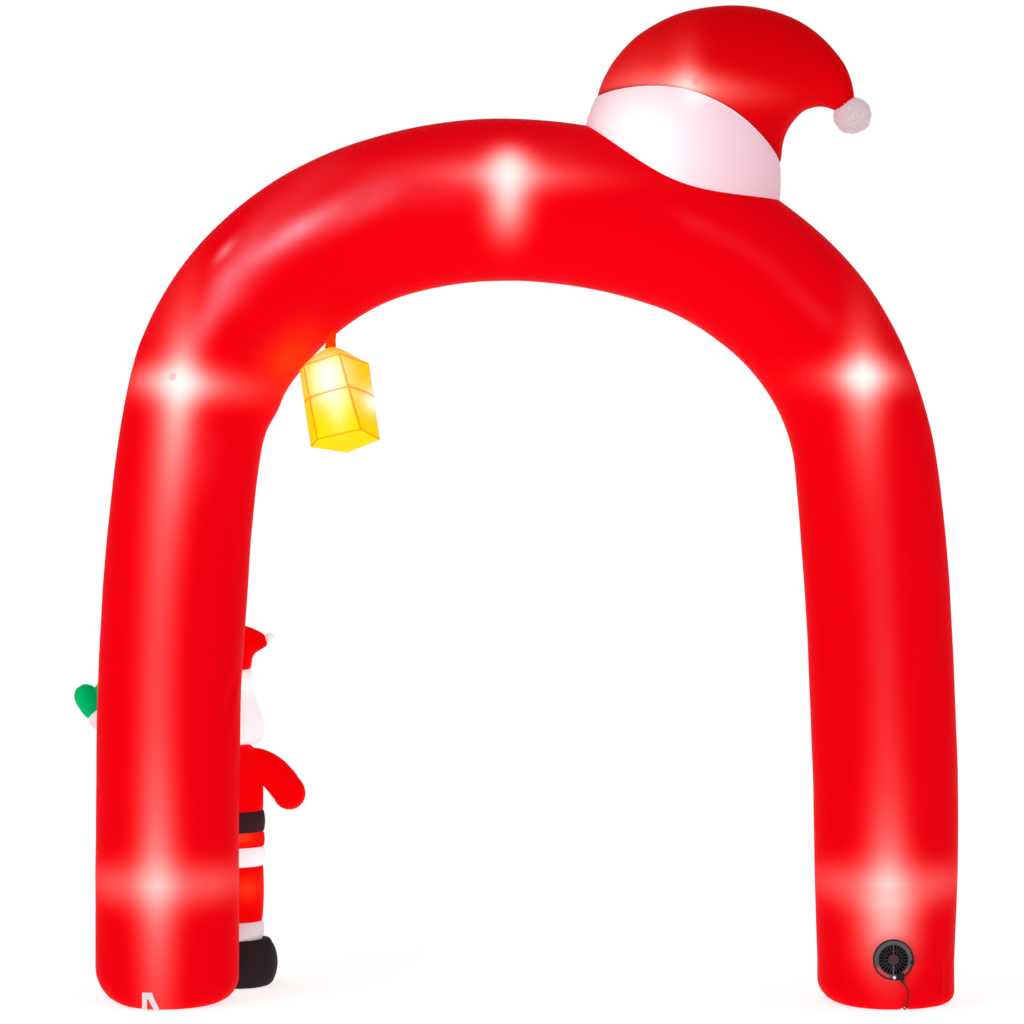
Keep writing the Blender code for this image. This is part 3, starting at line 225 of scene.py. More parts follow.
# Limbs: a round section for each point of a path, whose Y is from the figure's middle.
Joint = namedtuple("Joint", "x y z radius")
LIMBS = {
    "sleeve_right": table(
        Joint,
        (-860, 0, 694, 46), (-800, 2, 704, 49), (-742, 6, 676, 51), (-696, 18, 622, 51),
        (-689, 56, 603, 50), (-698, 101, 612, 46), (-710, 141, 626, 43),
    ),
    "wrist_right": table(
        Joint,
        (-708, 136, 624, 41), (-716, 161, 634, 50), (-722, 181, 642, 45),
    ),
    "sleeve_left": table(
        Joint,
        (-1065, 0, 680, 46), (-1125, 2, 692, 49), (-1195, 6, 735, 50), (-1238, 8, 793, 47),
        (-1260, 8, 834, 43),
    ),
    "wrist_left": table(
        Joint,
        (-1256, 8, 829, 41), (-1276.5, 8, 854.5, 49), (-1293, 8, 875, 42),
    ),
    "hand": table(
        Joint,
        (-1298.5, 8, 868, 33), (-1306, 8, 876, 37.5), (-1318, 8, 896, 39.5), (-1332, 8, 917.5, 38.5),
        (-1343, 8, 935, 31), (-1350.5, 8, 947, 15),
    ),
    "thumb": table(
        Joint,
        (-1293, 8, 885, 24), (-1283, 8, 920, 24), (-1276.5, 8, 948, 21.5), (-1273.5, 8, 964, 13),
        (-1272.5, 8, 971, 5),
    ),
}

# The stake loop: webbing sewn to the left leg, laid out flat as X and length down the leg.
STRAP_THICK = 0.0016
STRAP_TOP_Z = 0.0555
STRAP_BEND = 0.005
STRAP_CLEAR = 0.0014  # from the leg's own surface to the webbing's middle
STRAP_CUTS = (14, 6, 12)  # steps down its hanging part, round its bend and across it
Corner = namedtuple("Corner", "x down")
STRAP_OUTLINE = table(
    Corner,
    (-1091, 0), (-1061, 0), (-1055, 18), (-1040, 48), (-1040, 66), (-1091, 66),
)
STRAP_HOLE = table(
    Corner,
    (-1076.5, 20), (-1072.5, 20), (-1056, 50), (-1056, 54.5), (-1076.5, 54.5),
)

# Round cloth patches that hold a lamp to the fabric, and the section from back to face of one.
PATCH_RADIUS = 0.0115
PATCH_THICK = 0.0015
PATCH_CLEAR = 0.0006
PATCH_SECTION = (
    (0.3, 0.0), (0.8, 0.0), (0.98, 0.0), (1.0, 0.3), (1.0, 0.75), (0.97, 1.0), (0.90, 0.95), (0.84, 0.62),
    (0.78, 0.90), (0.6, 1.0), (0.3, 1.0),
)
PATCH_STITCH_ROW = 7
PATCHES = table(
    namedtuple("Patch", "name node under x z"),
    ("patch_bend_cloth", "light_patch_bend", "tube_skin", -999, 1906),
    ("patch_hat_cloth", "light_patch_hat", "hat_crown_cloth", 574, 2794),
    plain="name node under",
)

# The blower in the right leg, and the round seat that the cloth is drawn into.
BLOWER_X = 1.167
BLOWER_Z = 0.154
NEAR_SIDE_Y = -0.1  # skin nearer than this is on the blower's side
SEAT_Y = -0.2062
SEAT_FLAT = 0.0635  # the cloth is flat under the flange up to here
SEAT_BLEND = 0.112  # and back on the leg's own round from here
SEAT_HOLE = 0.0462
SEAT_OPEN = 0.030  # faces nearer than this are cut out before the hole's edge is rounded
SEAT_CAVITY = 0.0742
SEAT_PATCH = 0.165  # the skin is made finer this far out
PUCKER_COUNT = 34
PUCKER_DEPTH = 0.0022
PUCKER_RING = 0.078  # they are deepest this far out, and fade over their reach
PUCKER_REACH = 0.020
FINE_PUCKER_RING = 0.066
FINE_PUCKER_COUNT = 70
FINE_PUCKER_DEPTH = 0.0005
# Painted shade in an arc over the blower's rim: its radius, reach and strength.
SHADE_RADIUS = 0.064
SHADE_REACH = 0.016
SHADE_STRENGTH = 0.24
GROOVE_X = 1.202
GROOVE_LIFT = 0.0066
GROOVE_WIDTH = 0.0090
GROOVE_PATCH = 0.035  # the skin is made finer this far to each side and up to the groove's top
GROOVE_TOP = 0.02
CORD_CLEAR = 0.020

# The mains lead, in the arch's own frame: over the leg, under the foot, a coil, then the plug.
Place = namedtuple("Place", "x y z")
CORD_ROUTE = table(
    Place,
    (1203.2, -217.4, 74.5), (1207, -217.7, 68.5), (1211, -218.4, 57), (1212, -219, 44), (1210, -219, 30),
    (1206.8, -215.3, 16.2), (1203.8, -205.2, 6.1), (1202.4, -191.4, 2.6), (1202, -150, 2.4),
    (1202, -50, 2.4), (1202, 50, 2.4), (1202, 150, 2.4), (1204, 210, 2.4), (1208, 250, 2.4),
    (1213, 292, 2.5),
)
COIL_AT = (1.1900, 0.3250)
COIL_LANES = (0.0188, 0.0230, 0.0272)
COIL_LAYERS = (0.0026, 0.0068, 0.0110)
COIL_ORDER = ((0, 2), (0, 1), (0, 0), (1, 0), (1, 1), (1, 2), (2, 1), (2, 2))  # layer and lane of each turn
COIL_STEPS = 20  # points on one turn
COIL_SHIFT = 5  # points over which the cord changes lane
COIL_LAST = 0.20  # of a turn on the last lane before the cord leaves it
LAYER_BULGE = 0.0016
TAIL_ROUTE = table(
    Place,
    (1185, 353.3, 9.8), (1174.5, 355.8, 7), (1164, 358, 4.5), (1148, 365, 4.5), (1130, 368, 8.5),
    (1110.7, 368, 12),
)

# Painted light on the cloth, on the plane that faces the viewer: the glow of lamps behind the cloth, painted
# sheen where the studio light falls on the tube, and the lantern's painted light on the tube beside it. Each
# has a plume with its lean from upright, its reach up and down, half width, falloff and peak, and some a band
# of light across it.
PAINTED_LIGHT_COLUMNS = "name x z lean up down width falloff peak reach band cross"
PaintedLight = namedtuple("PaintedLight", PAINTED_LIGHT_COLUMNS, defaults=(0.1, 0.1, 0.0))


def painted_light_table(*rows):
    return table(PaintedLight, *rows, plain="name lean falloff peak cross")


PAINTED_LIGHTS = {
    "tube": painted_light_table(
        ("left bend", -978, 1888, 0.079, 190, 400, 64, 1.1, 0.8, 138, 60, 0.95),
        ("crown", 10, 2513, 0.031, 93, 187, 71, 3.0, 0.8, 178, 52, 0.66),
        ("right bend", 1076, 1908, -0.023, 98, 172, 67, 0.8, 0.9, 90, 60, 0.95),
        ("left leg", -1046, 376, -0.002, 500, 378, 67, 0.7, 0.66, 800, 74, 0.35),
        ("right leg", 1150, 379, -0.002, 245, 130, 72, 0.8, 0.71, 800, 72, 0.34),
        ("right leg low", 1150, 300, 0.0, 60, 190, 95, 3.0, 0.48),
    ),
    # Painted sheen: soft highlight bands where the studio light falls on the tube; the last row widens the
    # painted glow below the left bend's lamp.
    "sheen": painted_light_table(
        ("left shoulder foot", -892, 2090, 0.52, 279, 150, 50, 2.0, 0.31),
        ("left shoulder middle", -826, 2167, 0.73, 600, 63, 76, 2.0, 0.16),
        ("left shoulder streak", -638, 2338, 1.55, 183, 165, 34, 2.0, 0.44),
        ("left shoulder fold", -846, 2289, 0.88, 46, 52, 16, 2.0, 0.4),
        ("left shoulder top", -400, 2434, 1.71, 109, 332, 47, 2.0, 0.2),
        ("crown", -80, 2515, 8.0, 360, 420, 100, 2.0, 0.18),
        ("right shoulder top", 587, 2358, -1.95, 133, 227, 36, 2.0, 0.1),
        ("right shoulder low", 944, 2095, -1.1, 277, 100, 40, 2.0, 0.1),
        ("right leg", 1132, 1150, -0.03, 600, 600, 55, 4.0, 0.14),
        ("left leg", -1040, 1250, 0.01, 350, 400, 75, 4.0, 0.1),
        ("below the left bend", -950, 1680, 0.08, 120, 160, 95, 3.0, 0.15),
    ),
    # Painted light that the lantern casts on the tube beside it.
    "by lantern": painted_light_table(
        ("beside the lantern", -640, 1960, 0.9, 110, 110, 70, 2.0, 0.85),
    ),
    "hat": painted_light_table(
        ("hat", 543, 2775, 0.055, 75, 120, 46, 1.0, 0.66, 157, 53, 0.72),
        ("hat side", 400, 2790, -0.583, 170, 200, 200, 2.0, 0.19),
    ),
    "band": painted_light_table(
        ("band", 425, 2610, -0.1, 190, 280, 205, 2.4, 0.95),
        ("band left", 330, 2640, 0.6, 130, 160, 80, 2.0, 0.45),
        ("band seam", 574, 2760, -0.4, 40, 45, 50, 2.0, 0.75),
    ),
    "lantern": painted_light_table(
        ("near face", -533, 1908, -0.15, 75, 95, 72, 3.0, 1.0),
        ("near face low", -506, 1815, -0.15, 60, 80, 36, 2.0, 0.55),
        ("right face", -394, 1836, -0.2, 52, 48, 42, 2.0, 0.98),
    ),
    "figure": painted_light_table(
        ("trouser leg", -812, 315, 0.0, 45, 45, 50, 2.0, 0.24),
        ("skirt", -825, 480, 0.0, 30, 30, 45, 2.0, 0.28),
    ),
}
# What cloth adds to its even painted glow where painted light falls on it: more of its hue, then near white.
# The pink set colours the painted sheen, the orange one the lantern's painted light on the tube.
Glow = namedtuple("Glow", "hue pale")
RED_GLOW = Glow((0.50, 0.0, 0.0), (0.60, 1.05, 0.98))
PINK_GLOW = Glow((0.10, 0.0, 0.005), (0.30, 1.0, 1.22))
ORANGE_GLOW = Glow((0.10, 0.030, 0.0), (0.20, 0.020, 0.0))
DEEP_RED_GLOW = Glow((0.65, 0.0, 0.0), (0.60, 0.95, 0.84))
WHITE_GLOW = Glow((0.20, 0.24, 0.22), (0.20, 0.27, 0.22))
YELLOW_GLOW = Glow((0.30, 0.0, 0.0), (0.40, 0.62, 0.98))
FIGURE_GLOW = Glow((0.40, 0.03, 0.0), (0.50, 0.60, 0.15))
PATCH_GLOW = Glow((0.40, 0.0, 0.0), (0.30, 0.62, 0.62))


# ---------------------------------------------------------------- settings
class ArchTubeSettings(bpy.types.PropertyGroup):
    """Fineness and unevenness of the cloth tube."""

    sides: IntProperty(name="Sides", description="Points round the tube", default=120, min=16)
    pitch: FloatProperty(name="Pitch", description="Length of a face along it", default=0.0125, unit="LENGTH")
    waviness: FloatProperty(name="Waviness", description="Height of its bumps", default=0.0022, unit="LENGTH")


class ArchTrimSettings(bpy.types.PropertyGroup):
    """Sewing thread along the seams."""

    pitch: FloatProperty(name="Pitch", description="From stitch to stitch", default=0.0050, unit="LENGTH")
    length: FloatProperty(name="Length", description="Length of one stitch", default=0.0034, unit="LENGTH")
    radius: FloatProperty(name="Radius", description="Half its thickness", default=0.00035, unit="LENGTH")


class ArchFleeceSettings(bpy.types.PropertyGroup):
    """Curly pile of the hat's pompom."""

    count: IntProperty(name="Tufts", description="Number of tufts of pile", default=2600, min=10)
    length: FloatProperty(name="Length", description="Height of one tuft", default=0.0075, unit="LENGTH")
    seed: IntProperty(name="Seed", description="Seed of the tufts' places", default=4)


class ArchLeadSettings(bpy.types.PropertyGroup):
    """The mains lead."""

    length: FloatProperty(name="Length", description="Length of the lead", default=1.8, unit="LENGTH")
    diameter: FloatProperty(name="Diameter", description="Its thickness", default=0.004, unit="LENGTH")


class ArchStageSettings(bpy.types.PropertyGroup):
    """Camera, floor and studio light."""

    distance: FloatProperty(name="Distance", description="From camera to arch", default=10.7, unit="LENGTH")
    lens: FloatProperty(name="Lens", description="Focal length at 36 mm", default=122.695, unit="CAMERA")
    key_power: FloatProperty(name="Key", description="Power of the key light", default=130.0, unit="POWER")
    sky: FloatProperty(name="Sky", description="Strength of the light from all round", default=0.50)
    floor_glow: FloatProperty(name="Floor glow", description="Light that the floor gives off", default=0.755)


# ---------------------------------------------------------------- shapes
def smooth_rows(rows, steps):
    """The rows with others between them, on a smooth curve through all of them."""
    values = np.array(rows)
    padded = np.concatenate((values[:1], values, values[-1:]))
    t = np.arange(steps)[:, None] / steps
    weights = (
        -0.5 * t + t * t - 0.5 * t**3,
        1.0 - 2.5 * t * t + 1.5 * t**3,
        0.5 * t + 2.0 * t * t - 1.5 * t**3,
        -0.5 * t * t + 0.5 * t**3,
    )
    parts = [sum(w * padded[i + k] for k, w in enumerate(weights)) for i in range(len(rows) - 1)]
    return [rows[0]._make(row) for row in np.concatenate(parts + [values[-1:]]).tolist()]


def blend_step(value, start, end):
    """0 before start, 1 after end and a smooth rise between them, for numbers or arrays."""
    share = np.clip((value - start) / (end - start), 0.0, 1.0)
    return share * share * (3 - 2 * share)


def hump(distance, width):
    """1 where the distance is 0, falling away over the width on both sides."""
    return np.exp(-((distance / width) ** 2))


def turns(sides):
    return 2 * math.pi * np.arange(sides) / sides


def columns(*values):
    """Numbers and arrays side by side, as the last axis of one array."""
    return np.stack(np.broadcast_arrays(*values), axis=-1)


def ring_of(centre, across, deep, half_width, half_depth, sides, lift=(0, 0, 0)):
    """Points round an ellipse as an array; lift raises its near and far edges along a direction."""
    angle = turns(sides)[:, None]
    centre, across, deep, lift = (np.array(v) for v in (centre, across, deep, lift))
    side = np.sin(angle)
    return centre + across * half_width * np.cos(angle) + deep * half_depth * side + lift * side**2


def shrunk(ring, scales):
    """Smaller copies of a ring about its middle."""
    middle = ring.mean(axis=0)
    return [middle + (ring - middle) * scale for scale in scales]


def girths(grid):
    return np.linalg.norm(np.roll(grid, -1, axis=1) - grid, axis=2).sum(axis=1)


def row_lengths(grid):
    """Length along the skin at each ring, from the first one."""
    steps = np.linalg.norm(np.diff(grid, axis=0), axis=2).mean(axis=1)
    return np.concatenate(([0.0], np.cumsum(steps)))


def grid_normals(grid):
    """Outward directions of a skin given as rings of points."""
    around = np.roll(grid, -1, axis=1) - np.roll(grid, 1, axis=1)
    normals = np.cross(around, np.gradient(grid, axis=0))
    normals /= np.maximum(np.linalg.norm(normals, axis=2, keepdims=True), 1e-9)
    outward = ((grid - grid.mean(axis=1, keepdims=True)) * normals).sum()
    return normals if outward >= 0 else -normals


def pushed(grid, shift):
    """The skin moved outwards by a distance at each point."""
    return grid + grid_normals(grid) * shift[..., None]


def noise_at(points, scale, seed=0.0):
    """Smooth noise from about -1 to 1 at each point."""
    flat = points.reshape(-1, 3) * scale + seed
    return np.array([noise.noise(point) for point in flat.tolist()]).reshape(points.shape[:-1])


def swell(grid, height):
    """The skin puffed out between its two end seams."""
    along = row_lengths(grid)
    return pushed(grid, (height * np.sin(math.pi * along / along[-1]))[:, None])


def seam_gathers(grid, reach, depth, pitch, pinch, seed=0.0, ends=(True, True)):
    """The skin drawn in at its end seams, with small folds that run away from them."""
    along = row_lengths(grid)
    folds = max(int(girths(grid).max() / pitch), 3)
    angle = turns(grid.shape[1])
    shape = np.sin(folds * angle + 2.0 * np.sin(3 * angle + seed)) * (0.6 + 0.4 * np.sin(7 * angle + seed))
    shift = np.zeros(grid.shape[:2])
    for is_on, distance in zip(ends, (along, along[-1] - along)):
        if is_on:
            near = np.exp(-distance / reach) * np.minimum(distance / (0.25 * reach), 1.0)
            shift += near[:, None] * depth * shape - hump(distance, 0.5 * reach)[:, None] * pinch
    return pushed(grid, shift)


def puffy(grid, height, seed, pitch=0.020, pinch=0.004, reach=0.012, depth=0.0016):
    """A blown-up piece: full between its seams, drawn in at them and closed by flat ends."""
    grid = swell(grid, height)
    grid = seam_gathers(pushed(grid, noise_at(grid, 9.0, seed) * 0.0016), reach, depth, pitch, pinch, seed)
    return np.array(shrunk(grid[0], END_RINGS)[::-1] + list(grid) + shrunk(grid[-1], END_RINGS))


def upright_grid(rows, centre, sides, steps):
    """Elliptic sections up a vertical line."""
    rings = []
    for row in smooth_rows(rows, steps):
        middle = (centre[0], centre[1] + row.shift, row.z)
        rings.append(ring_of(middle, (1, 0, 0), (0, 1, 0), row.half_width, row.half_depth, sides))
    return np.array(rings)


def limb_grid(rows, sides, steps):
    """Round sections along a path."""
    rows = smooth_rows(rows, steps)
    points = [Vector(row[:3]) for row in rows]
    across = Vector((0, 1, 0))
    rings = []
    for i, row in enumerate(rows):
        along = (points[min(i + 1, len(rows) - 1)] - points[max(i - 1, 0)]).normalized()
        across = (across - along * across.dot(along)).normalized()
        rings.append(ring_of(points[i], across, along.cross(across), row.radius, row.radius, sides))
    return np.array(rings)


def hat_grid(rows, y, sides, steps):
    """Sections of a hat, each between its left and its right outline point."""
    rings = []
    for row in smooth_rows(rows, steps):
        left, right = Vector((row.left_x, y, row.left_z)), Vector((row.right_x, y, row.right_z))
        across = (right - left).normalized()
        lift = Vector((-across.z, 0, across.x)) * row.rise
        half_width = (right - left).length / 2
        rings.append(ring_of((left + right) / 2, across, (0, 1, 0), half_width, row.half_depth, sides, lift))
    return np.array(rings)


# ---------------------------------------------------------------- meshes and pieces
@contextmanager
def editing(mesh):
    """The mesh as a BMesh, written back afterwards."""
    bm = bmesh.new()
    bm.from_mesh(mesh)
    yield bm
    bm.to_mesh(mesh)
    bm.free()


def face_outwards(mesh):
    with editing(mesh) as bm:
        bmesh.ops.recalc_face_normals(bm, faces=bm.faces)
        if bm.calc_volume(signed=True) < 0:
            bmesh.ops.reverse_faces(bm, faces=bm.faces)


def skin_mesh(name, grid, poles=None):
    """A closed mesh over rings of points, with a pole in each end and a UV map in metres."""
    rings, sides = grid.shape[:2]
    poles = (grid[0].mean(axis=0), grid[-1].mean(axis=0)) if poles is None else poles
    verts = np.concatenate((grid.reshape(-1, 3), poles))
    j = np.arange(sides)
    k = (j + 1) % sides
    start = np.arange(rings - 1)[:, None] * sides
    last = (rings - 1) * sides
    quads = columns(start + j, start + k, start + sides + k, start + sides + j).reshape(-1, 4)
    fans = np.concatenate((columns(k, j, last + sides), columns(last + j, last + k, last + sides + 1)))
    mesh = bpy.data.meshes.new(name)
    mesh.from_pydata(verts.tolist(), [], quads.tolist() + fans.tolist())
    along = row_lengths(grid)
    step = girths(grid).mean() / sides
    left, right, middle = j * step, (j + 1) * step, (j + 0.5) * step
    low, high = along[:-1, None], along[1:, None]
    top = along[-1]
    uv = (
        columns(left, low, right, low, right, high, left, high),
        columns(right, 0.0, left, 0.0, middle, -0.01),
        columns(left, top, right, top, middle, top + 0.01),
    )
    mesh.uv_layers.new(name="cloth").data.foreach_set("uv", np.concatenate([part.reshape(-1) for part in uv]))
    face_outwards(mesh)
    return mesh


def read_mesh(mesh, what):
    """The mesh's points, as co, or its normals, as normal, in an array."""
    found = np.empty(len(mesh.vertices) * 3)
    mesh.vertices.foreach_get(what, found)
    return found.reshape(-1, 3)


def set_points(mesh, points):
    mesh.vertices.foreach_set("co", np.ascontiguousarray(points).reshape(-1))
    mesh.update()


def link(name, data):
    """A new object in the scene."""
    obj = bpy.data.objects.new(name, data)
    bpy.context.scene.collection.objects.link(obj)
    return obj


def baked(obj):
    """The plain mesh that an object and its modifiers make; the object is removed."""
    bpy.context.view_layer.update()
    mesh = bpy.data.meshes.new_from_object(obj.evaluated_get(bpy.context.evaluated_depsgraph_get()))
    bpy.data.objects.remove(obj, do_unlink=True)
    return mesh


def path_object(name, paths, is_flat=False):
    """A curve object along paths; each path comes with whether it is closed to a ring."""
    curve = bpy.data.curves.new(name, "CURVE")
    curve.dimensions = "2D" if is_flat else "3D"
    for path, is_ring in paths:
        spline = curve.splines.new("POLY")
        spline.points.add(len(path) - 1)
        for point, place in zip(spline.points, path):
            point.co = (*place, 1.0)
        spline.use_cyclic_u = is_ring
    return link(name, curve)


def move_mesh(mesh, sign):
    """Into the part's frame from the arch's own at -1, and back at 1."""
    mesh.transform(Matrix.Translation(Vector(FOOTPRINT_CENTRE) * sign))


def settle(obj, nodes=()):
    """Attaches a finished piece to the arch's body and hides the imported parts that it stands for."""
    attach(obj, "arch")
    if nodes:
        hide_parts(*nodes)
    return obj


def add_piece(name, mesh, material, nodes=(), smooth=60.0):
    """A piece of the arch from a mesh, or from rings of points, in the arch's own frame."""
    mesh = skin_mesh(name, mesh) if isinstance(mesh, np.ndarray) else mesh
    move_mesh(mesh, -1)
    mesh.shade_smooth()
    mesh.set_sharp_from_angle(angle=math.radians(smooth))
    mesh.materials.append(material)
    return settle(link(name, mesh), nodes)


# ---------------------------------------------------------------- node trees
def sign(operation, is_swapped=False):
    """A method that adds a maths node for one of Python's signs."""
    def method(self, other):
        return maths(operation, *((other, self) if is_swapped else (self, other)))
    return method


class Value:
    """A socket of a node tree; Python's signs add the nodes that work with it."""

    __add__ = __radd__ = sign("ADD")
    __mul__ = __rmul__ = sign("MULTIPLY")
    __sub__ = sign("SUBTRACT")
    __rsub__ = sign("SUBTRACT", True)
    __truediv__ = sign("DIVIDE")
    __rtruediv__ = sign("DIVIDE", True)
    __pow__ = sign("POWER")

    def __init__(self, socket):
        self.socket = socket
        self.tree = socket.id_data

    def __getitem__(self, name):
        """Another output of the same node."""
        return Value(self.socket.node.outputs[name])


def feed(socket, value):
    """Links a value to a socket, or sets the socket's own number or colour."""
    if isinstance(value, Value):
        value.tree.links.new(value.socket, socket)
    else:
        socket.default_value = (*value, 1.0) if socket.type == "RGBA" else value


def add_node(tree, kind, inputs=(), **settings):
    """The first output of a new node, after its settings and inputs are set."""
    node = tree.nodes.new(kind)
    for name, value in settings.items():
        setattr(node, name, value)
    for name, value in dict(inputs).items():
        feed(node.inputs[name], value)
    return Value(node.outputs[0]) if node.outputs else None


def tree_of(*values):
    return next(value.tree for value in values if isinstance(value, Value))


def maths(operation, *values):
    return add_node(tree_of(*values), "ShaderNodeMath", dict(enumerate(values)), operation=operation)


def scaled(colour, share):
    inputs = {0: colour, "Scale": share}
    return add_node(share.tree, "ShaderNodeVectorMath", inputs, operation="SCALE")


def vector_sum(first, second):
    return add_node(first.tree, "ShaderNodeVectorMath", {0: first, 1: second}, operation="ADD")


def mixed(share, first, second):
    return add_node(share.tree, "ShaderNodeMix", {0: share, 6: first, 7: second}, data_type="RGBA")[2]


def ranged(value, start, end, low=0.0, high=1.0):
    return add_node(value.tree, "ShaderNodeMapRange", {"Value": value, 1: start, 2: end, 3: low, 4: high})


def noise_of(where, scale, detail, distortion=0.0):
    inputs = {"Vector": where, "Scale": scale, "Detail": detail, "Distortion": distortion}
    return add_node(where.tree, "ShaderNodeTexNoise", inputs)


def axes(where):
    place = add_node(where.tree, "ShaderNodeSeparateXYZ", {"Vector": where})
    return [place[axis] for axis in "XYZ"]


def distance_of(x, z):
    return maths("SQRT", x * x + z * z)


def bell(value, width):
    """1 where the value is 0, falling away over the width on both sides."""
    share = value / width
    return maths("EXPONENT", share * share * -1.0)


def fade(value, length):
    """1 where the value is 0, and less the further it is from 0 either way."""
    return maths("EXPONENT", maths("ABSOLUTE", value) / length * -1.0)


def group_tree(name, inputs, build, kind="ShaderNodeTree"):
    """A node group, made once. Its inputs are given by name with a default or the kind of socket."""
    if name in bpy.data.node_groups:
        return bpy.data.node_groups[name]
    tree = bpy.data.node_groups.new(name, kind)
    for label, default in inputs.items():
        sort = {int: "Int", float: "Float", tuple: "Color"}.get(type(default), default)
        socket = tree.interface.new_socket(name=label, in_out="INPUT", socket_type=f"NodeSocket{sort}")
        if sort == "Color":
            socket.default_value = (*default, 1.0)
        elif sort != default:
            socket.default_value = default
    made = build(tree, add_node(tree, "NodeGroupInput"))
    for label in made:
        sort = label if label in ("Color", "Geometry") else "Float"
        tree.interface.new_socket(name=label, in_out="OUTPUT", socket_type=f"NodeSocket{sort}")
    add_node(tree, "NodeGroupOutput", made)
    return tree


def add_group(tree, group, inputs, **settings):
    """The first output of a shared effect: its name, its inputs and the function that builds it."""
    return add_node(tree, "ShaderNodeGroup", inputs, node_tree=group_tree(*group), **settings)


def build_painted_light(tree, given):
    """One patch of painted light, for the glow of a lamp through cloth, painted sheen and the lantern's cast
    light: an upright plume and a band across it.
    """
    x, _, z = axes(given["Vector"])
    x, z = x - given["Centre X"], z - given["Centre Z"]
    a = x * given["Along X"] + z * given["Along Z"]
    b = x * given["Along Z"] - z * given["Along X"]
    length = maths("GREATER_THAN", a, 0.0) * (given["Up"] - given["Down"]) + given["Down"]
    far = (maths("ABSOLUTE", a) / length) ** given["Falloff"]
    plume = maths("EXPONENT", far * -1.0) * bell(b, given["Width"]) * given["Peak"]
    across = fade(b, given["Reach"]) * bell(a, given["Band"]) * given["Cross"]
    return {"Glow": 1.0 - (1.0 - plume) * (1.0 - across)}


def build_lit_cloth(tree, given):
    """The colour that lit cloth gives off: its even painted glow, more of its hue, then near white."""
    glow = maths("MINIMUM", given["Glow"], 1.0)
    colour = vector_sum(scaled(given["Hue"], glow), scaled(given["Pale"], glow**2.2))
    return {"Color": vector_sum(colour, given["Dim"])}


def build_weave(tree, given):
    """Height of a plain weave and of the small wrinkles in it, from cloth coordinates in metres."""
    x, y, z = axes(given["Vector"])
    turn = 2 * math.pi / given["Thread Pitch"]
    threads = maths("SINE", x * turn) * maths("SINE", y * turn) * given["Thread Height"]
    stretched = add_node(tree, "ShaderNodeCombineXYZ", {"X": x, "Y": y * given["Stretch"], "Z": z})
    wrinkles = noise_of(stretched, given["Wrinkle Scale"], 3.0, 0.6)
    return {"Height": wrinkles * given["Wrinkle Height"] + threads}


def build_plastic(tree, given):
    """Fine spark texture of a moulded face: a height and a roughness."""
    grain = noise_of(given["Vector"], given["Grain Scale"], 2.0)
    patches = noise_of(given["Vector"], given["Patch Scale"], 3.0)
    return {"Height": grain * given["Height"], "Roughness": patches * 0.16 + given["Roughness"] - 0.08}


PAINTED_LIGHT_SOCKETS = ("Centre X", "Centre Z", "Along X", "Along Z", "Up", "Down", "Width", "Falloff", "Peak")
PAINTED_LIGHT_GROUP = (
    "lamp_glow",
    {"Vector": "Vector"} | {name: 0.1 for name in (*PAINTED_LIGHT_SOCKETS, "Reach", "Band", "Cross")},
    build_painted_light,
)
LIT_CLOTH_GROUP = (
    "lit_cloth",
    {"Glow": 0.0, "Dim": (0.1, 0.0, 0.0), "Hue": (0.6, 0.0, 0.0), "Pale": (1.0, 1.0, 0.93)},
    build_lit_cloth,
)
WEAVE_GROUP = (
    "cloth_weave",
    {"Vector": "Vector", "Thread Pitch": 0.0016, "Thread Height": 0.00003, "Wrinkle Scale": 14.0,
     "Stretch": 0.35, "Wrinkle Height": 0.0010},
    build_weave,
)
PLASTIC_GROUP = (
    "moulded_plastic",
    {"Vector": "Vector", "Grain Scale": 900.0, "Patch Scale": 35.0, "Height": 0.00008, "Roughness": 0.45},
    build_plastic,
)


def start_material(name, colour, roughness, metallic=0.0, specular=0.5, light=None, strength=1.0):
    """A material, the inputs of its shader and its coordinates. Light is what it gives off."""
    material = bpy.data.materials.new(name)
    material.use_nodes = True
    material.diffuse_color = (*colour, 1.0)
    shader = material.node_tree.nodes["Principled BSDF"].inputs
    values = {"Base Color": colour, "Roughness": roughness, "Metallic": metallic}
    values["Specular IOR Level"] = specular
    if light:
        values |= {"Emission Color": light, "Emission Strength": strength}
    for label, value in values.items():
        feed(shader[label], value)
    return material, shader, add_node(material.node_tree, "ShaderNodeTexCoord")


def add_bump(shader, height):
    inputs = {"Height": height, "Distance": 1.0, "Strength": 1.0}
    feed(shader["Normal"], add_node(height.tree, "ShaderNodeBump", inputs))


def lit_by(where, lamps, glow, painted_glow, far_side, is_uneven):
    """The even painted glow and what a group of painted lights adds to it, less so on the side away from
    them.
    """
    dark = 1.0
    for lamp in lamps:
        along = Vector((lamp.lean, 1.0)).normalized()
        values = (where, lamp.x - FOOTPRINT_CENTRE[0], lamp.z, *along, *lamp[4:])
        dark = (1.0 - add_group(where.tree, PAINTED_LIGHT_GROUP, dict(enumerate(values)), label=lamp.name)) * dark
    middle = -FOOTPRINT_CENTRE[1]
    shine = (1.0 - dark) * ranged(axes(where)[1], middle - 0.15, middle + 0.12, 1.0, far_side)
    if is_uneven:
        shine = shine * (noise_of(where, 7.0, 2.0) * 0.5 + 0.75)
    inputs = {"Glow": shine, "Dim": painted_glow, "Hue": glow.hue, "Pale": glow.pale}
    return add_group(where.tree, LIT_CLOTH_GROUP, inputs)


